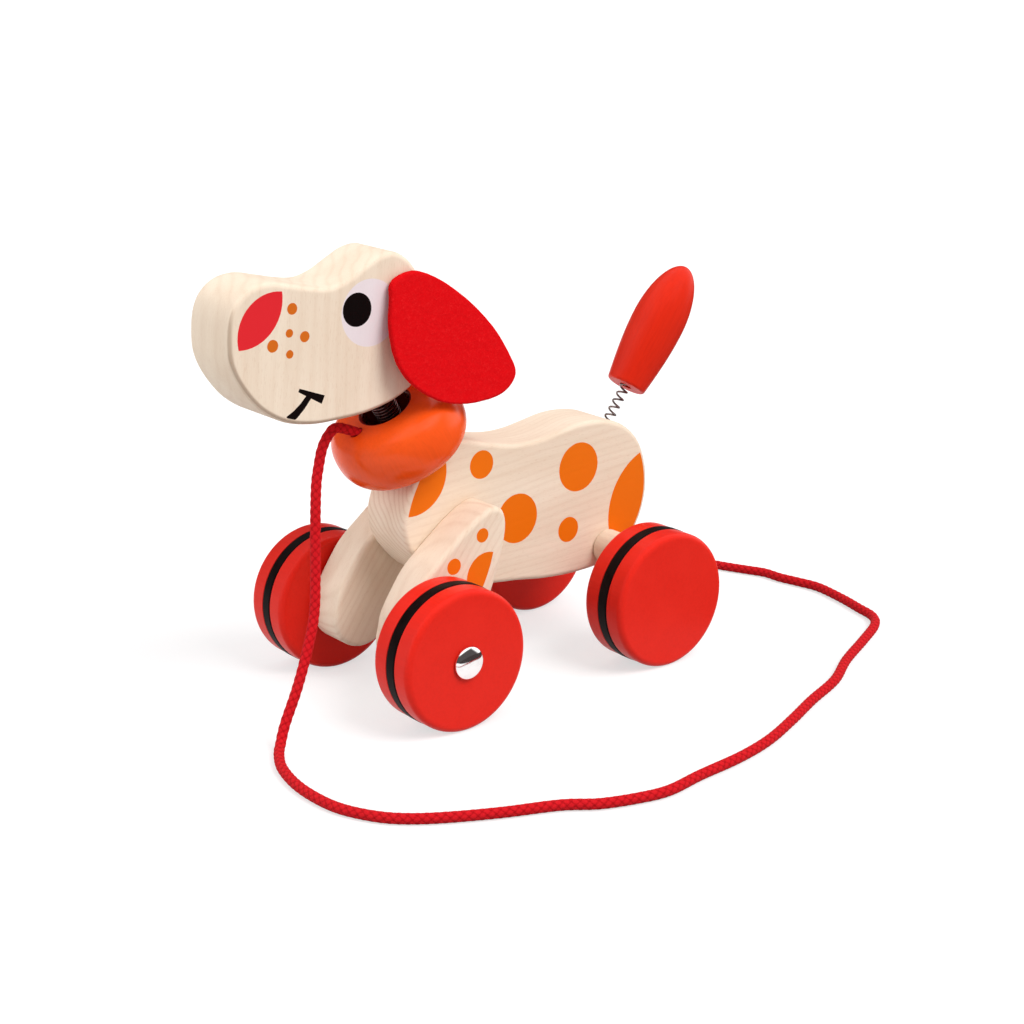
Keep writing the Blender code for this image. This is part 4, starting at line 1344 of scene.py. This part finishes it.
@dataclass
class Head:
    """The head board with its printed face, which is the same on both sides."""

    places: Places
    groups: Groups
    thickness: float = 29.0
    socket_radius: float = 5.8
    socket_depth: float = 11.0

    OUTLINE = (
        (77.0, 33.7), (75.8, 42.8), (72.4, 49.3), (65.9, 53.8), (57.5, 55.0), (48.5, 53.1), (39.0, 50.8),
        (30.5, 49.7), (22.4, 51.6), (13.9, 55.8), (7.0, 58.9), (0.0, 59.7), (-5.0, 57.5), (-9.5, 53.2),
        (-13.5, 46.2), (-16.5, 36.7), (-17.5, 26.7), (-16.0, 16.7), (-12.5, 9.2), (-7.3, 4.0), (2.0, -0.4),
        (15.0, -3.2), (28.0, -3.9), (41.2, -3.5), (53.6, -0.4), (64.4, 6.5), (72.4, 16.5), (76.4, 25.6),
    )
    FRECKLES = Print(
        FRECKLE_ORANGE,
        (Spot(49.3, 144.0, 2.3), Spot(51.0, 134.7, 1.7), Spot(44.1, 132.4, 2.2), Spot(58.7, 130.8, 2.5), Spot(51.2, 126.5, 1.7)),
    )
    MOUTH = Print(
        PRINT_BLACK,
        strokes=(
            Stroke((47.7, 111.7), (36.6, 106.2), (0.75, 1.8)),
            Stroke((42.6, 109.0), (46.5, 104.9), (1.3, 1.5)),
            Stroke((46.2, 105.2), (49.9, 102.2), (1.5, 1.7)),
            Stroke((49.5, 102.5), (53.0, 100.6), (1.7, 1.8)),
        ),
    )
    PUPIL = Print(PRINT_BLACK, (Spot(19.4, 139.5, 6.8),))
    EYE = Print(EYE_WHITE, (Spot(13.4, 137.5, 13.5),), cover=0.68)

    def nose(self) -> Print:
        """The pointed nose patch: what two discs through both its tips share."""
        tips = np.array([(53.5, 151.3), (73.8, 131.2)])
        middle, half = tips.mean(axis=0), np.linalg.norm(tips[1] - tips[0]) / 2
        along = unit(tips[1] - tips[0])
        outward = np.array([-along[1], along[0]])
        discs = []
        for bulge in (7.7, -6.9):
            radius = (half**2 + bulge**2) / (2 * abs(bulge))
            centre = middle + outward * (bulge - math.copysign(radius, bulge))
            discs.append(Spot(float(centre[0]), float(centre[1]), float(radius)))
        return Print(NOSE_RED, lens=(discs[0], discs[1]))

    def build(self) -> list[bpy.types.Object]:
        """Builds and dresses the head.

        Returns:
            The new piece.
        """
        places, half = self.places, self.thickness / 2
        outline = places.side_view(smooth(self.OUTLINE, 12, closed=True), places.neck_top)
        outline = ease_outline(evenly(outline, OUTLINE_STEP, closed=True), EASE)
        # The head's edges that face forward and down carry the painted shade line.
        wood = Beech("Head beech", (-0.06, 0.10, 0.12), (0.0, 84.0, 0.0), rings=0.12, end_rings=0.22, ring=0.0052, worn=0.5)
        prints = (self.EYE, self.PUPIL, self.nose(), self.FRECKLES, self.MOUTH)
        finish = wood.material(self.groups, prints, places.front_axle, half)
        head = make_piece("head_board", board(outline, -half, half, EDGE), finish, "plain_wood")
        mouth = places.neck_top - 5 * MM * places.neck_axis
        drill(head, mouth, places.neck_axis, self.socket_radius, 5.0 + self.socket_depth)
        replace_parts(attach(head, "head"), "head_block")
        return [head]


# ---------------------------------------------------------------------------------------------------------
# Neck and tail
# ---------------------------------------------------------------------------------------------------------


def spring(start: Array, axis: Array, length: float, radius: float, wire: float, pitch: float, curl: int, sides: int) -> Surface:
    """Surface of a wound spring: a helix of radius minus half the wire about the axis, with wire round it.

    Args:
        start: Foot of the spring on its axis, in metres.
        axis: Unit vector.
        length: In millimetres, as are the sizes below.
        radius: Over the wire.
        wire: Diameter of the wire.
        pitch: Rise in each turn.
        curl: Steps in a turn.
        sides: Steps round the wire.

    Returns:
        The surface.
    """
    turns = (length - 2 * wire) / pitch
    share = np.linspace(0.0, 1.0, int(round(turns * curl)) + 1)
    angle = TAU * turns * share
    across = np.cross(SIDE, axis)
    spokes = np.cos(angle)[:, None] * across + np.sin(angle)[:, None] * SIDE
    height = wire + share[:, None] * (length - 2 * wire)
    path = start + ((radius - wire / 2) * spokes + height * axis) * MM
    return tube(path, wire / 2 * MM, sides)


@dataclass
class Neck:
    """The collar and the neck's spring."""

    places: Places
    groups: Groups
    free_length: float = 34.4
    collar_radius: float = 28.9
    collar_height: float = 26.6
    bulge: float = 2.3
    round_depth: float = 12.6
    bore: float = 10.5
    socket_depth: float = 11.0
    spring_radius: float = 5.5
    wire: float = 0.9
    pitch: float = 1.45
    cord_reach: float = 16.6
    cord_depth: float = 0.1
    cord_rise: float = 30.0

    @property
    def foot(self) -> Array:
        """Middle of the body's neck face."""
        return self.places.neck_top - self.free_length * MM * self.places.neck_axis

    @property
    def collar_centre(self) -> Array:
        """Middle of the collar."""
        return self.foot + (GAP + self.collar_height / 2) * MM * self.places.neck_axis

    @property
    def cord_mouth(self) -> Array:
        """Where the cord leaves its hole in the collar."""
        across = self.cord_reach * self.places.neck_across
        return self.collar_centre + (across + (self.collar_height / 2 - self.cord_depth) * self.places.neck_axis) * MM

    @property
    def cord_axis(self) -> Array:
        """Direction of the cord out of its hole, forward and up."""
        angle = math.radians(self.cord_rise)
        return np.array([math.cos(angle), 0.0, math.sin(angle)])

    def build(self) -> list[bpy.types.Object]:
        """Builds and dresses the collar and the spring.

        Returns:
            The new pieces.
        """
        places, half = self.places, self.collar_height / 2
        core = self.collar_radius - self.round_depth
        angle = np.linspace(-math.pi / 2, math.pi / 2, 57)
        across = core + self.round_depth * np.abs(np.cos(angle)) ** (2 / self.bulge)
        along = half * np.sign(np.sin(angle)) * np.abs(np.sin(angle)) ** (2 / self.bulge)
        outside = np.stack([across, along], axis=1)
        rims = eased([(core, half, 0.0), (self.bore, half, 1.4), (self.bore, -half, 1.4), (core, -half, 0.0)], 8)
        profile = np.vstack([outside, rims[1:-1]])
        # Painted shade: the collar's bore is darkened to a deep red-brown for the shade between the head and the
        # collar.
        inside = (self.collar_centre, places.neck_axis, (self.bore + 1.1) * MM, (0.10, 0.006, 0.002))
        finish = ORANGE_COLLAR.material(self.groups, inside)
        collar = make_piece("collar_bead", turned(profile, self.collar_centre, places.neck_axis, 160, ring=True), finish, "orange_lacquer")
        drill(collar, self.cord_mouth + 5 * MM * self.cord_axis, -self.cord_axis, 2.6, 13.0, 48)
        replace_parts(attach(collar, "chassis"), "collar")
        seat = self.socket_depth - GAP
        surface = spring(
            self.foot - seat * MM * places.neck_axis, places.neck_axis, self.free_length + 2 * seat,
            self.spring_radius, self.wire, self.pitch, 44, 10,
        )
        # The neck coil takes the darker steel copy, as painted shade.
        coil = make_piece("neck_coil", surface, SHADED_NECK_STEEL.material(self.groups), "spring_steel", 60.0)
        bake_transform(coil)
        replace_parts(coil, "neck_spring")
        return [collar, coil]


@dataclass
class Tail:
    """The turned tail on its spring."""

    places: Places
    groups: Groups
    free_length: float = 18.0
    socket_depth: float = 10.0
    spring_radius: float = 2.5
    wire: float = 0.9
    pitch: float = 3.8
    length: float = 60.9
    base_radius: float = 8.9
    radius: float = 12.0
    widest: float = 32.6
    bulge: float = 1.95

    def profile(self) -> Array:
        """Up the hole, round the base, along a quarter sine to the widest place and over a round tip."""
        hole = self.spring_radius + GAP
        base = eased(
            [(0.0, self.socket_depth, 0.0), (hole, self.socket_depth, 0.2), (hole, 0.0, 0.25), (self.base_radius, 0.0, 1.3),
             (self.base_radius + 0.28, 2.0, 0.0)], 6
        )
        share = np.linspace(0.09, 1.0, 30)
        swell = self.base_radius + (self.radius - self.base_radius) * np.sin(math.pi / 2 * share)
        lower = np.stack([swell, self.widest * share], axis=1)
        angle = np.linspace(0.0, math.pi / 2, 44)[1:]
        across = self.radius * np.abs(np.cos(angle)) ** (2 / self.bulge)
        across[-1] = 0.0
        along = self.widest + (self.length - self.widest) * np.sin(angle) ** (2 / self.bulge)
        return np.vstack([base[:-1], lower, np.stack([across, along], axis=1)])

    def build(self) -> list[bpy.types.Object]:
        """Builds and dresses the tail and its spring.

        Returns:
            The new pieces.
        """
        places = self.places
        surface = turned(self.profile(), places.tail_base, places.tail_axis, 112)
        tail = make_piece("tail_club", surface, RED_TAIL.material(self.groups), "red_tail_lacquer")
        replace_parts(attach(tail, "tail_body"), "tail")
        foot = places.tail_base - self.free_length * MM * places.tail_axis
        seat = self.socket_depth - GAP
        wire = spring(
            foot - seat * MM * places.tail_axis, places.tail_axis, self.free_length + 2 * seat,
            self.spring_radius, self.wire, self.pitch, 44, 14,
        )
        coil = make_piece("tail_coil", wire, STEEL.material(self.groups), "spring_steel", 60.0)
        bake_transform(coil)
        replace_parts(coil, "tail_spring")
        return [tail, coil]


# ---------------------------------------------------------------------------------------------------------
# Soft pieces
# ---------------------------------------------------------------------------------------------------------


@dataclass
class Ears:
    """Two thick felt ears, glued at the top, that hang away from the head."""

    places: Places
    groups: Groups
    head_thickness: float = 29.0
    thickness: float = 3.2
    edge: float = 0.9
    splay: float = 10.0
    top: float = 51.7

    OUTLINE = (
        (5.4, 41.9), (4.6, 47.3), (1.1, 50.3), (-5.5, 51.8), (-11.5, 50.9), (-20.3, 46.5), (-29.5, 39.6),
        (-37.6, 31.9), (-44.7, 22.9), (-49.9, 13.0), (-52.3, 5.7), (-49.2, 0.6), (-42.6, -2.7), (-32.6, -3.9),
        (-22.1, -3.3), (-12.7, -0.7), (-4.4, 4.2), (2.4, 10.8), (6.4, 19.4), (7.3, 31.2),
    )

    def surface(self, hand: Hand) -> Surface:
        """An ear's surface: rings from a middle point to the outline on both faces, joined by a round rim.

        Each ring is a share t of the way out. The half thickness falls off at the rim as a quarter ellipse, the
        whole ear leans out by the splay, and low noise stands for the uneven nap.
        """
        outline = evenly(smooth(self.OUTLINE, 10, closed=True), 0.55, closed=True)
        middle = outline.mean(axis=0)
        reach = float(np.linalg.norm(outline - middle, axis=1).mean())
        rim = self.edge * 1.5 / reach
        inner = np.linspace(0.0, 1.0 - rim, 30)
        angle = np.linspace(0.0, math.pi / 2, 7)[1:]
        share = np.concatenate([inner, 1.0 - rim + rim * np.sin(angle)])
        drop = np.concatenate([np.ones(len(inner)), np.cos(angle)])
        share = np.concatenate([share, share[-2::-1]])
        level = np.concatenate([drop, -drop[-2::-1]])
        level = np.sign(level) * np.abs(level) ** 0.8
        flat = middle + share[:, None, None] * (outline - middle)[None]
        half = self.thickness / 2
        depth = self.head_thickness / 2 + GAP + half + level[:, None] * half + np.zeros(flat.shape[:2])
        depth += math.tan(math.radians(self.splay)) * np.maximum(self.top - flat[..., 1], 0.0)
        points = np.stack([flat[..., 0], depth * hand.value, flat[..., 1]], axis=-1) * MM
        origin = self.places.neck_top * np.array([1.0, 0.0, 1.0])
        points = points.reshape(-1, 3) + origin
        nap = 0.10 * value_noise(points, 420.0, 3) + 0.07 * value_noise(points, 1100.0, 5)
        wave = 0.35 * value_noise(points, 45.0, 9)
        rows, columns = flat.shape[:2]
        outward = np.repeat(level, columns)
        points[:, 1] += hand.value * (nap * outward + wave * np.repeat(share, columns)) * MM
        spread = np.stack([flat[..., 0], flat[..., 1]], axis=-1).reshape(-1, 2) - middle
        points[:, [0, 2]] += (spread / np.maximum(np.linalg.norm(spread, axis=1, keepdims=True), 1e-6)) * (
            (0.12 * value_noise(points, 700.0, 7) - 0.1) * (1 - np.abs(outward)) * MM
        )[:, None]
        return Surface(points, grid_quads(rows, columns), uv=grid_uv(rows, columns))

    def build(self) -> list[bpy.types.Object]:
        """Builds and dresses both ears.

        Returns:
            The new pieces.
        """
        felt = RED_FELT.material(self.groups)
        made = []
        for hand in Hand:
            ear = make_piece(f"felt_ear_{hand.word}", self.surface(hand), felt, "red_felt", 80.0)
            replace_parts(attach(ear, f"{hand.word}_ear"), f"ear_{hand.word}")
            made.append(ear)
        return made


@dataclass
class PullCord:
    """The braided cord from the collar along the floor, and the knot at its end."""

    places: Places
    groups: Groups
    neck: Neck
    diameter: float = 4.4
    hole_depth: float = 8.0
    floor_gap: float = 0.1
    knot_radius: float = 4.7
    knot_length: float = 10.5
    knot_lead: float = 9.0
    strands: int = 4
    cell: float = 3.4  # length of one crossing along the cord
    groove: float = 0.24

    DROP = (
        (20.4, -0.4, 119.0), (24.6, 0.0, 117.4), (28.6, 0.6, 112.4), (31.4, 1.5, 105.0), (33.9, 3.0, 97.0),
        (37.4, 6.6, 79.0), (40.1, 9.8, 63.5), (43.7, 13.3, 48.0), (49.8, 16.6, 35.0), (57.3, 20.0, 22.0),
        (65.3, 22.9, 10.0), (70.0, 26.4, 4.0),
    )
    FLOOR = (
        (74.6, 32.2), (80.4, 43.6), (84.2, 59.0), (84.9, 74.0), (83.1, 87.0), (77.8, 99.0), (70.8, 108.0),
        (59.1, 116.8), (39.4, 127.4), (18.3, 136.6), (6.0, 145.1), (-8.9, 150.7), (-22.0, 153.0),
        (-40.0, 150.6), (-63.5, 148.5), (-84.0, 144.1), (-105.5, 136.0), (-127.1, 126.8), (-150.6, 117.8),
        (-171.5, 105.3), (-195.4, 93.7), (-213.2, 84.4), (-221.2, 76.0), (-224.6, 64.5), (-228.3, 50.6),
        (-231.3, 33.0), (-229.5, 21.5), (-227.2, 11.0), (-226.6, 1.5), (-223.0, -7.0), (-218.2, -18.0),
        (-211.5, -36.0),
    )
    KNOT = (-202.6, -69.0)

    def route(self) -> tuple[Array, Array, Array]:
        """The cord's middle line in metres, the knot's middle and the direction from the knot to the cord."""
        axle = self.places.front_axle * np.array([1.0, 1.0, 0.0])
        floor = self.diameter / 2 + self.floor_gap
        start = self.neck.cord_mouth - (self.hole_depth - GAP) * MM * self.neck.cord_axis
        air = np.array(self.DROP) * MM + axle
        ground = np.array([(x, y, floor) for x, y in self.FLOOR]) * MM + axle
        knot = np.array([*self.KNOT, self.knot_radius + self.floor_gap]) * MM + axle
        toward = unit(np.array([*ground[-1, :2], knot[2]]) - knot)
        end = knot + (self.knot_length / 2 + GAP) * MM * toward
        lead = end + self.knot_lead * MM * toward
        line = smooth(np.vstack([start, self.neck.cord_mouth, air, ground, lead, end]), 12, closed=False)
        line[:, 2] = np.maximum(line[:, 2], floor * MM)
        return line, knot, toward

    def braid(self, path: Array, radius: Array, sides: int) -> Surface:
        """A tube whose surface is a braid of strands that cross over and under.

        With p = n * turn + length / cell and q = n * turn - length / cell, each whole step of p and q is one
        crossing. Where their sum is even the strand along q lies on top, and else the one along p. A strand is
        round across, and it rises in the middle of its crossing.

        Args:
            path: Middle line in metres, with even steps.
            radius: Outer radius in metres at each point of the path.
            sides: Steps round the cord.

        Returns:
            The surface, with the attribute "crossing": 0 in the grooves and 1 on top of the strands.
        """
        along = lengths_along(path)[:, None] / (self.cell * MM)
        turn = np.linspace(0.0, 1.0, sides, endpoint=False)[None, :]
        p, q = self.strands * turn + along, self.strands * turn - along
        over = (np.floor(p) + np.floor(q)) % 2 < 1
        part_p, part_q = p - np.floor(p), q - np.floor(q)
        across = np.where(over, part_p, part_q)
        lengthwise = np.where(over, part_q, part_p)
        height = np.sin(math.pi * across) ** 0.55 * (0.5 + 0.5 * np.sin(math.pi * lengthwise) ** 0.8)
        surface = tube(path, radius[:, None] - (1 - height) * self.groove * MM, sides)
        surface.extras["crossing"] = height.ravel()
        return surface

    def knot_path(self, knot: Array, toward: Array) -> Array:
        """Middle line of the overhand knot, from inside the cord's end to the loose end.

        The strand winds one and a half turns back along the knot, returns outside that pair, winds through it
        again half a turn apart and leaves at the far side.
        """
        up = np.array([0.0, 0.0, 1.0])
        aside = unit(np.cross(up, toward))
        half, inner, outer = 3.6, 1.75, 3.9
        share = np.linspace(0.0, 1.0, 12)
        first = TAU * 0.75 * 2 * share
        rows = [np.array([[9.0, 0.0, 0.0], [7.0, 0.2, 0.0], [5.2, 0.9, 0.2]])]
        one = np.stack([half * (1 - 2 * share), inner * np.cos(first), inner * np.sin(first)], axis=1)
        back = np.stack([half * 1.25 * (2 * share - 1) * 0.9, -outer * np.sin(math.pi * (0.18 + 0.64 * share)) ** 0.3, 0.6 * np.sin(TAU * share)], axis=1)
        two = np.stack([half * (1 - 2 * share), -inner * np.cos(first), -inner * np.sin(first)], axis=1)
        rows += [one, back, two]
        rows.append(np.array([[-5.2, 0.9, -0.2], [-7.5, 0.2, -1.0], [-10.0, 0.0, -1.8], [-12.0, 0.2, -2.2]]))
        local = smooth(np.vstack(rows), 6, closed=False) * MM
        path = knot + local[:, :1] * toward + local[:, 1:2] * aside + local[:, 2:] * up
        return evenly(path, 0.00035)

    def build(self) -> list[bpy.types.Object]:
        """Returns:
            The new pieces.
        """
        yarn = RED_YARN.material(self.groups)
        line, knot, toward = self.route()
        path = evenly(line, 0.00042)
        along = lengths_along(path)
        outer = self.diameter / 2 * MM
        radius = outer * (1 + 0.012 * value_noise(path, 90.0, 2))
        radius = np.minimum(radius, outer * 1.01) * (1 - 0.12 * np.clip(1 - (along[-1] - along) / 0.004, 0, 1) ** 2)
        cord = make_piece("braided_cord", self.braid(path, radius, 48), yarn, "red_cord", 80.0)
        knot_path = self.knot_path(knot, toward)
        tie = make_piece("overhand_knot", self.braid(knot_path, np.full(len(knot_path), 1.8 * MM), 36), yarn, "red_cord", 80.0)
        for piece, node in ((cord, "pull_cord"), (tie, "cord_end_knot")):
            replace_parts(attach(piece, "chassis"), node)
        return [cord, tie]


# ---------------------------------------------------------------------------------------------------------
# Hidden pieces and the studio
# ---------------------------------------------------------------------------------------------------------


def dress_hidden(frame: dict, groups: Groups) -> None:
    """Gives the inner rods, dowels and plugs that stay as they are their wood or steel.

    Args:
        groups: The shared node groups.
    """
    steel = bpy.data.materials[STEEL.name]
    across = Beech("Dowel beech", (0.0, 0.02, 0.03), (0.0, 0.0, 90.0), pale=(0.80, 0.62, 0.44)).material(groups)
    upright = Beech("Plug beech", (0.0, 0.02, 0.03), (0.0, -60.0, 0.0), pale=(0.80, 0.62, 0.44)).material(groups)
    finishes = {"front_pin_left": steel, "front_pin_right": steel, "rear_axle": across, "shoulder_dowel_upper": across}
    finishes |= {"shoulder_dowel_lower": across, "neck_plug_lower": upright, "neck_plug_upper": upright}
    for node, finish in finishes.items():
        piece = frame["nodes"][node]
        piece.data.materials.clear()
        piece.data.materials.append(finish)


@dataclass(frozen=True)
class Studio:
    """The camera, the pale floor and the soft light."""

    focal: float = 72.825
    sensor: float = 36.0
    azimuth: float = 141.303
    elevation: float = 17.668
    roll: float = -0.315
    camera_place: tuple[float, float, float] = (469.217, 671.956, 309.346)  # from the front axle
    floor_size: float = 14.0
    floor_tone: float = 0.44
    floor_glow: float = 0.62
    mirrored_way: tuple[float, float, float] = (-0.626, 0.780, 0.0)  # where a wheel's face mirrors the floor
    dark_from: float = 0.128
    ambient: float = 0.73
    sun: float = 2.25
    sun_angle: float = 34.0
    sun_way: tuple[float, float, float] = (-0.20, 0.62, 0.76)
    front_way: tuple[float, float, float] = (0.98, -0.20, 0.0)  # the sky is brighter there
    front_tone: float = 3.1
    view_way: tuple[float, float, float] = (0.54, 0.78, 0.30)  # and darker there
    view_tone: float = 0.56
    box_way: tuple[float, float, float] = (-0.93, 0.12, 0.36)

    def build(self, places: Places) -> None:
        """Sets up everything that isn't part of the dog."""
        self.camera(places)
        self.floor()
        self.world()
        self.lamps()
        bpy.context.scene.view_settings.view_transform = "Standard"

    def camera(self, places: Places) -> None:
        """The camera at the photograph's place: azimuth 0 looks along +Y, and roll turns the picture."""
        az, el, roll = (math.radians(angle) for angle in (self.azimuth, self.elevation, self.roll))
        right = np.array([math.cos(az), math.sin(az), 0.0])
        back = np.array([math.sin(az) * math.cos(el), -math.cos(az) * math.cos(el), math.sin(el)])
        up = np.cross(back, right)
        turned_right = right * math.cos(roll) + up * math.sin(roll)
        turned_up = -right * math.sin(roll) + up * math.cos(roll)
        data = bpy.data.cameras.new("camera")
        data.sensor_width, data.lens, data.clip_start, data.clip_end = self.sensor, self.focal, 0.01, 60.0
        camera = bpy.data.objects.new("camera", data)
        bpy.context.scene.collection.objects.link(camera)
        matrix = np.eye(4)
        matrix[:3, 0], matrix[:3, 1], matrix[:3, 2] = turned_right, turned_up, back
        matrix[:3, 3] = places.front_axle + np.array(self.camera_place) * MM
        camera.matrix_world = Matrix(matrix.tolist())
        bpy.context.scene.camera = camera

    def floor(self) -> None:
        """A wide pale floor. To the camera and in reflections it is lit a little from within, so it is white."""
        half = self.floor_size / 2
        mesh = bpy.data.meshes.new("floor")
        mesh.from_pydata([(-half, -half, 0), (half, -half, 0), (half, half, 0), (-half, half, 0)], [], [(0, 1, 2, 3)])
        floor = bpy.data.objects.new("floor", mesh)
        bpy.context.scene.collection.objects.link(floor)
        made, nodes, shader = new_material("Pale floor", (0.9, 0.9, 0.9))
        shader.inputs["Roughness"].default_value = 1.0
        shader.inputs["Specular IOR Level"].default_value = 0.0
        path = nodes.add("LightPath").outputs
        reach = nodes.vector("DOT_PRODUCT", nodes.add("TexCoord").outputs["Object"], self.mirrored_way, out="Value")
        dark = nodes.math("MULTIPLY", path["Is Glossy Ray"], nodes.spread(reach, self.dark_from, self.dark_from + 0.012))
        nodes.feed(shader.inputs["Base Color"], nodes.mix(dark, (self.floor_tone,) * 3, (0.05, 0.04, 0.04)))
        seen = nodes.math("MAXIMUM", path["Is Camera Ray"], path["Is Glossy Ray"])
        seen = nodes.math("MAXIMUM", seen, path["Is Transmission Ray"])
        seen = nodes.math("MULTIPLY", seen, nodes.math("SUBTRACT", 1.0, dark))
        nodes.feed(shader.inputs["Emission Strength"], nodes.math("MULTIPLY", seen, self.floor_glow))
        shader.inputs["Emission Color"].default_value = (1.0, 1.0, 1.0, 1.0)
        mesh.materials.append(made)
        floor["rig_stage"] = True

    def world(self) -> None:
        """White to the camera, even soft light to the dog, and dark with two soft boxes in reflections."""
        world = bpy.data.worlds.new("studio")
        bpy.context.scene.world = world
        world.use_nodes = True
        nodes = Nodes(world.node_tree)
        shader = world.node_tree.nodes["Background"]
        height = nodes.add("SeparateXYZ", {"Vector": nodes.add("TexCoord").outputs["Generated"]}).outputs["Z"]
        path = nodes.add("LightPath").outputs
        toward = nodes.vector("DOT_PRODUCT", nodes.add("TexCoord").outputs["Generated"], self.box_way, out="Value")
        boxes = nodes.math("MAXIMUM", nodes.spread(toward, 0.80, 0.95), nodes.spread(height, 0.60, 0.80))
        mirrored = nodes.mix(boxes, (0.10, 0.09, 0.09), (1.6, 1.6, 1.6))
        diffuse = nodes.mix(nodes.spread(height, 0.0, 0.9), (0.88, 0.87, 0.87), (0.88, 0.89, 0.90))
        way = nodes.add("TexCoord").outputs["Generated"]
        for toward_it, tone in ((self.front_way, self.front_tone), (self.view_way, self.view_tone)):
            share = nodes.spread(nodes.vector("DOT_PRODUCT", way, toward_it, out="Value"), 0.45, 0.95)
            diffuse = nodes.mix(share, diffuse, (tone,) * 3)
        ambient = nodes.mix(1.0, diffuse, (self.ambient,) * 3, "MULTIPLY")
        colour = nodes.mix(path["Is Glossy Ray"], ambient, mirrored)
        colour = nodes.mix(nodes.math("MAXIMUM", path["Is Camera Ray"], path["Is Transmission Ray"]), colour, (1.0, 1.0, 1.0))
        nodes.feed(shader.inputs["Color"], colour)
        shader.inputs["Strength"].default_value = 1.0

    def lamps(self) -> None:
        """A wide soft sun from above. Gloss mirrors the world's soft boxes and not the sun."""
        data = bpy.data.lights.new("key", "SUN")
        data.energy, data.angle = self.sun, math.radians(self.sun_angle)
        key = bpy.data.objects.new("key", data)
        bpy.context.scene.collection.objects.link(key)
        key.rotation_euler = Vector(self.sun_way).to_track_quat("Z", "Y").to_euler()
        key.visible_glossy = False


# ---------------------------------------------------------------------------------------------------------
# Main
# ---------------------------------------------------------------------------------------------------------


def corners(box: tuple[Vector, Vector]) -> list[list[float]]:
    """A box's two corners as plain lists."""
    return [[float(value) for value in corner] for corner in box]


def main() -> None:
    """Builds the sub-assemblies in order."""
    logging.basicConfig(level=logging.INFO, format="%(message)s")
    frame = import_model()
    cad_box = corners(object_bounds())
    places, groups = Places.read(frame), Groups.build()
    Studio().build(places)
    neck = Neck(places, groups)
    for part in (
        neck,
        PullCord(places, groups, neck),
        RunningGear(places, groups),
        Body(places, groups),
        Head(places, groups),
        Tail(places, groups),
        Ears(places, groups),
    ):
        made = part.build()
        LOG.info("%s: %s", type(part).__name__, ", ".join(piece.name for piece in made))
    dress_hidden(frame, groups)
    {"cad": cad_box, "visual": corners(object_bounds())}


if __name__ == "__main__":
    main()
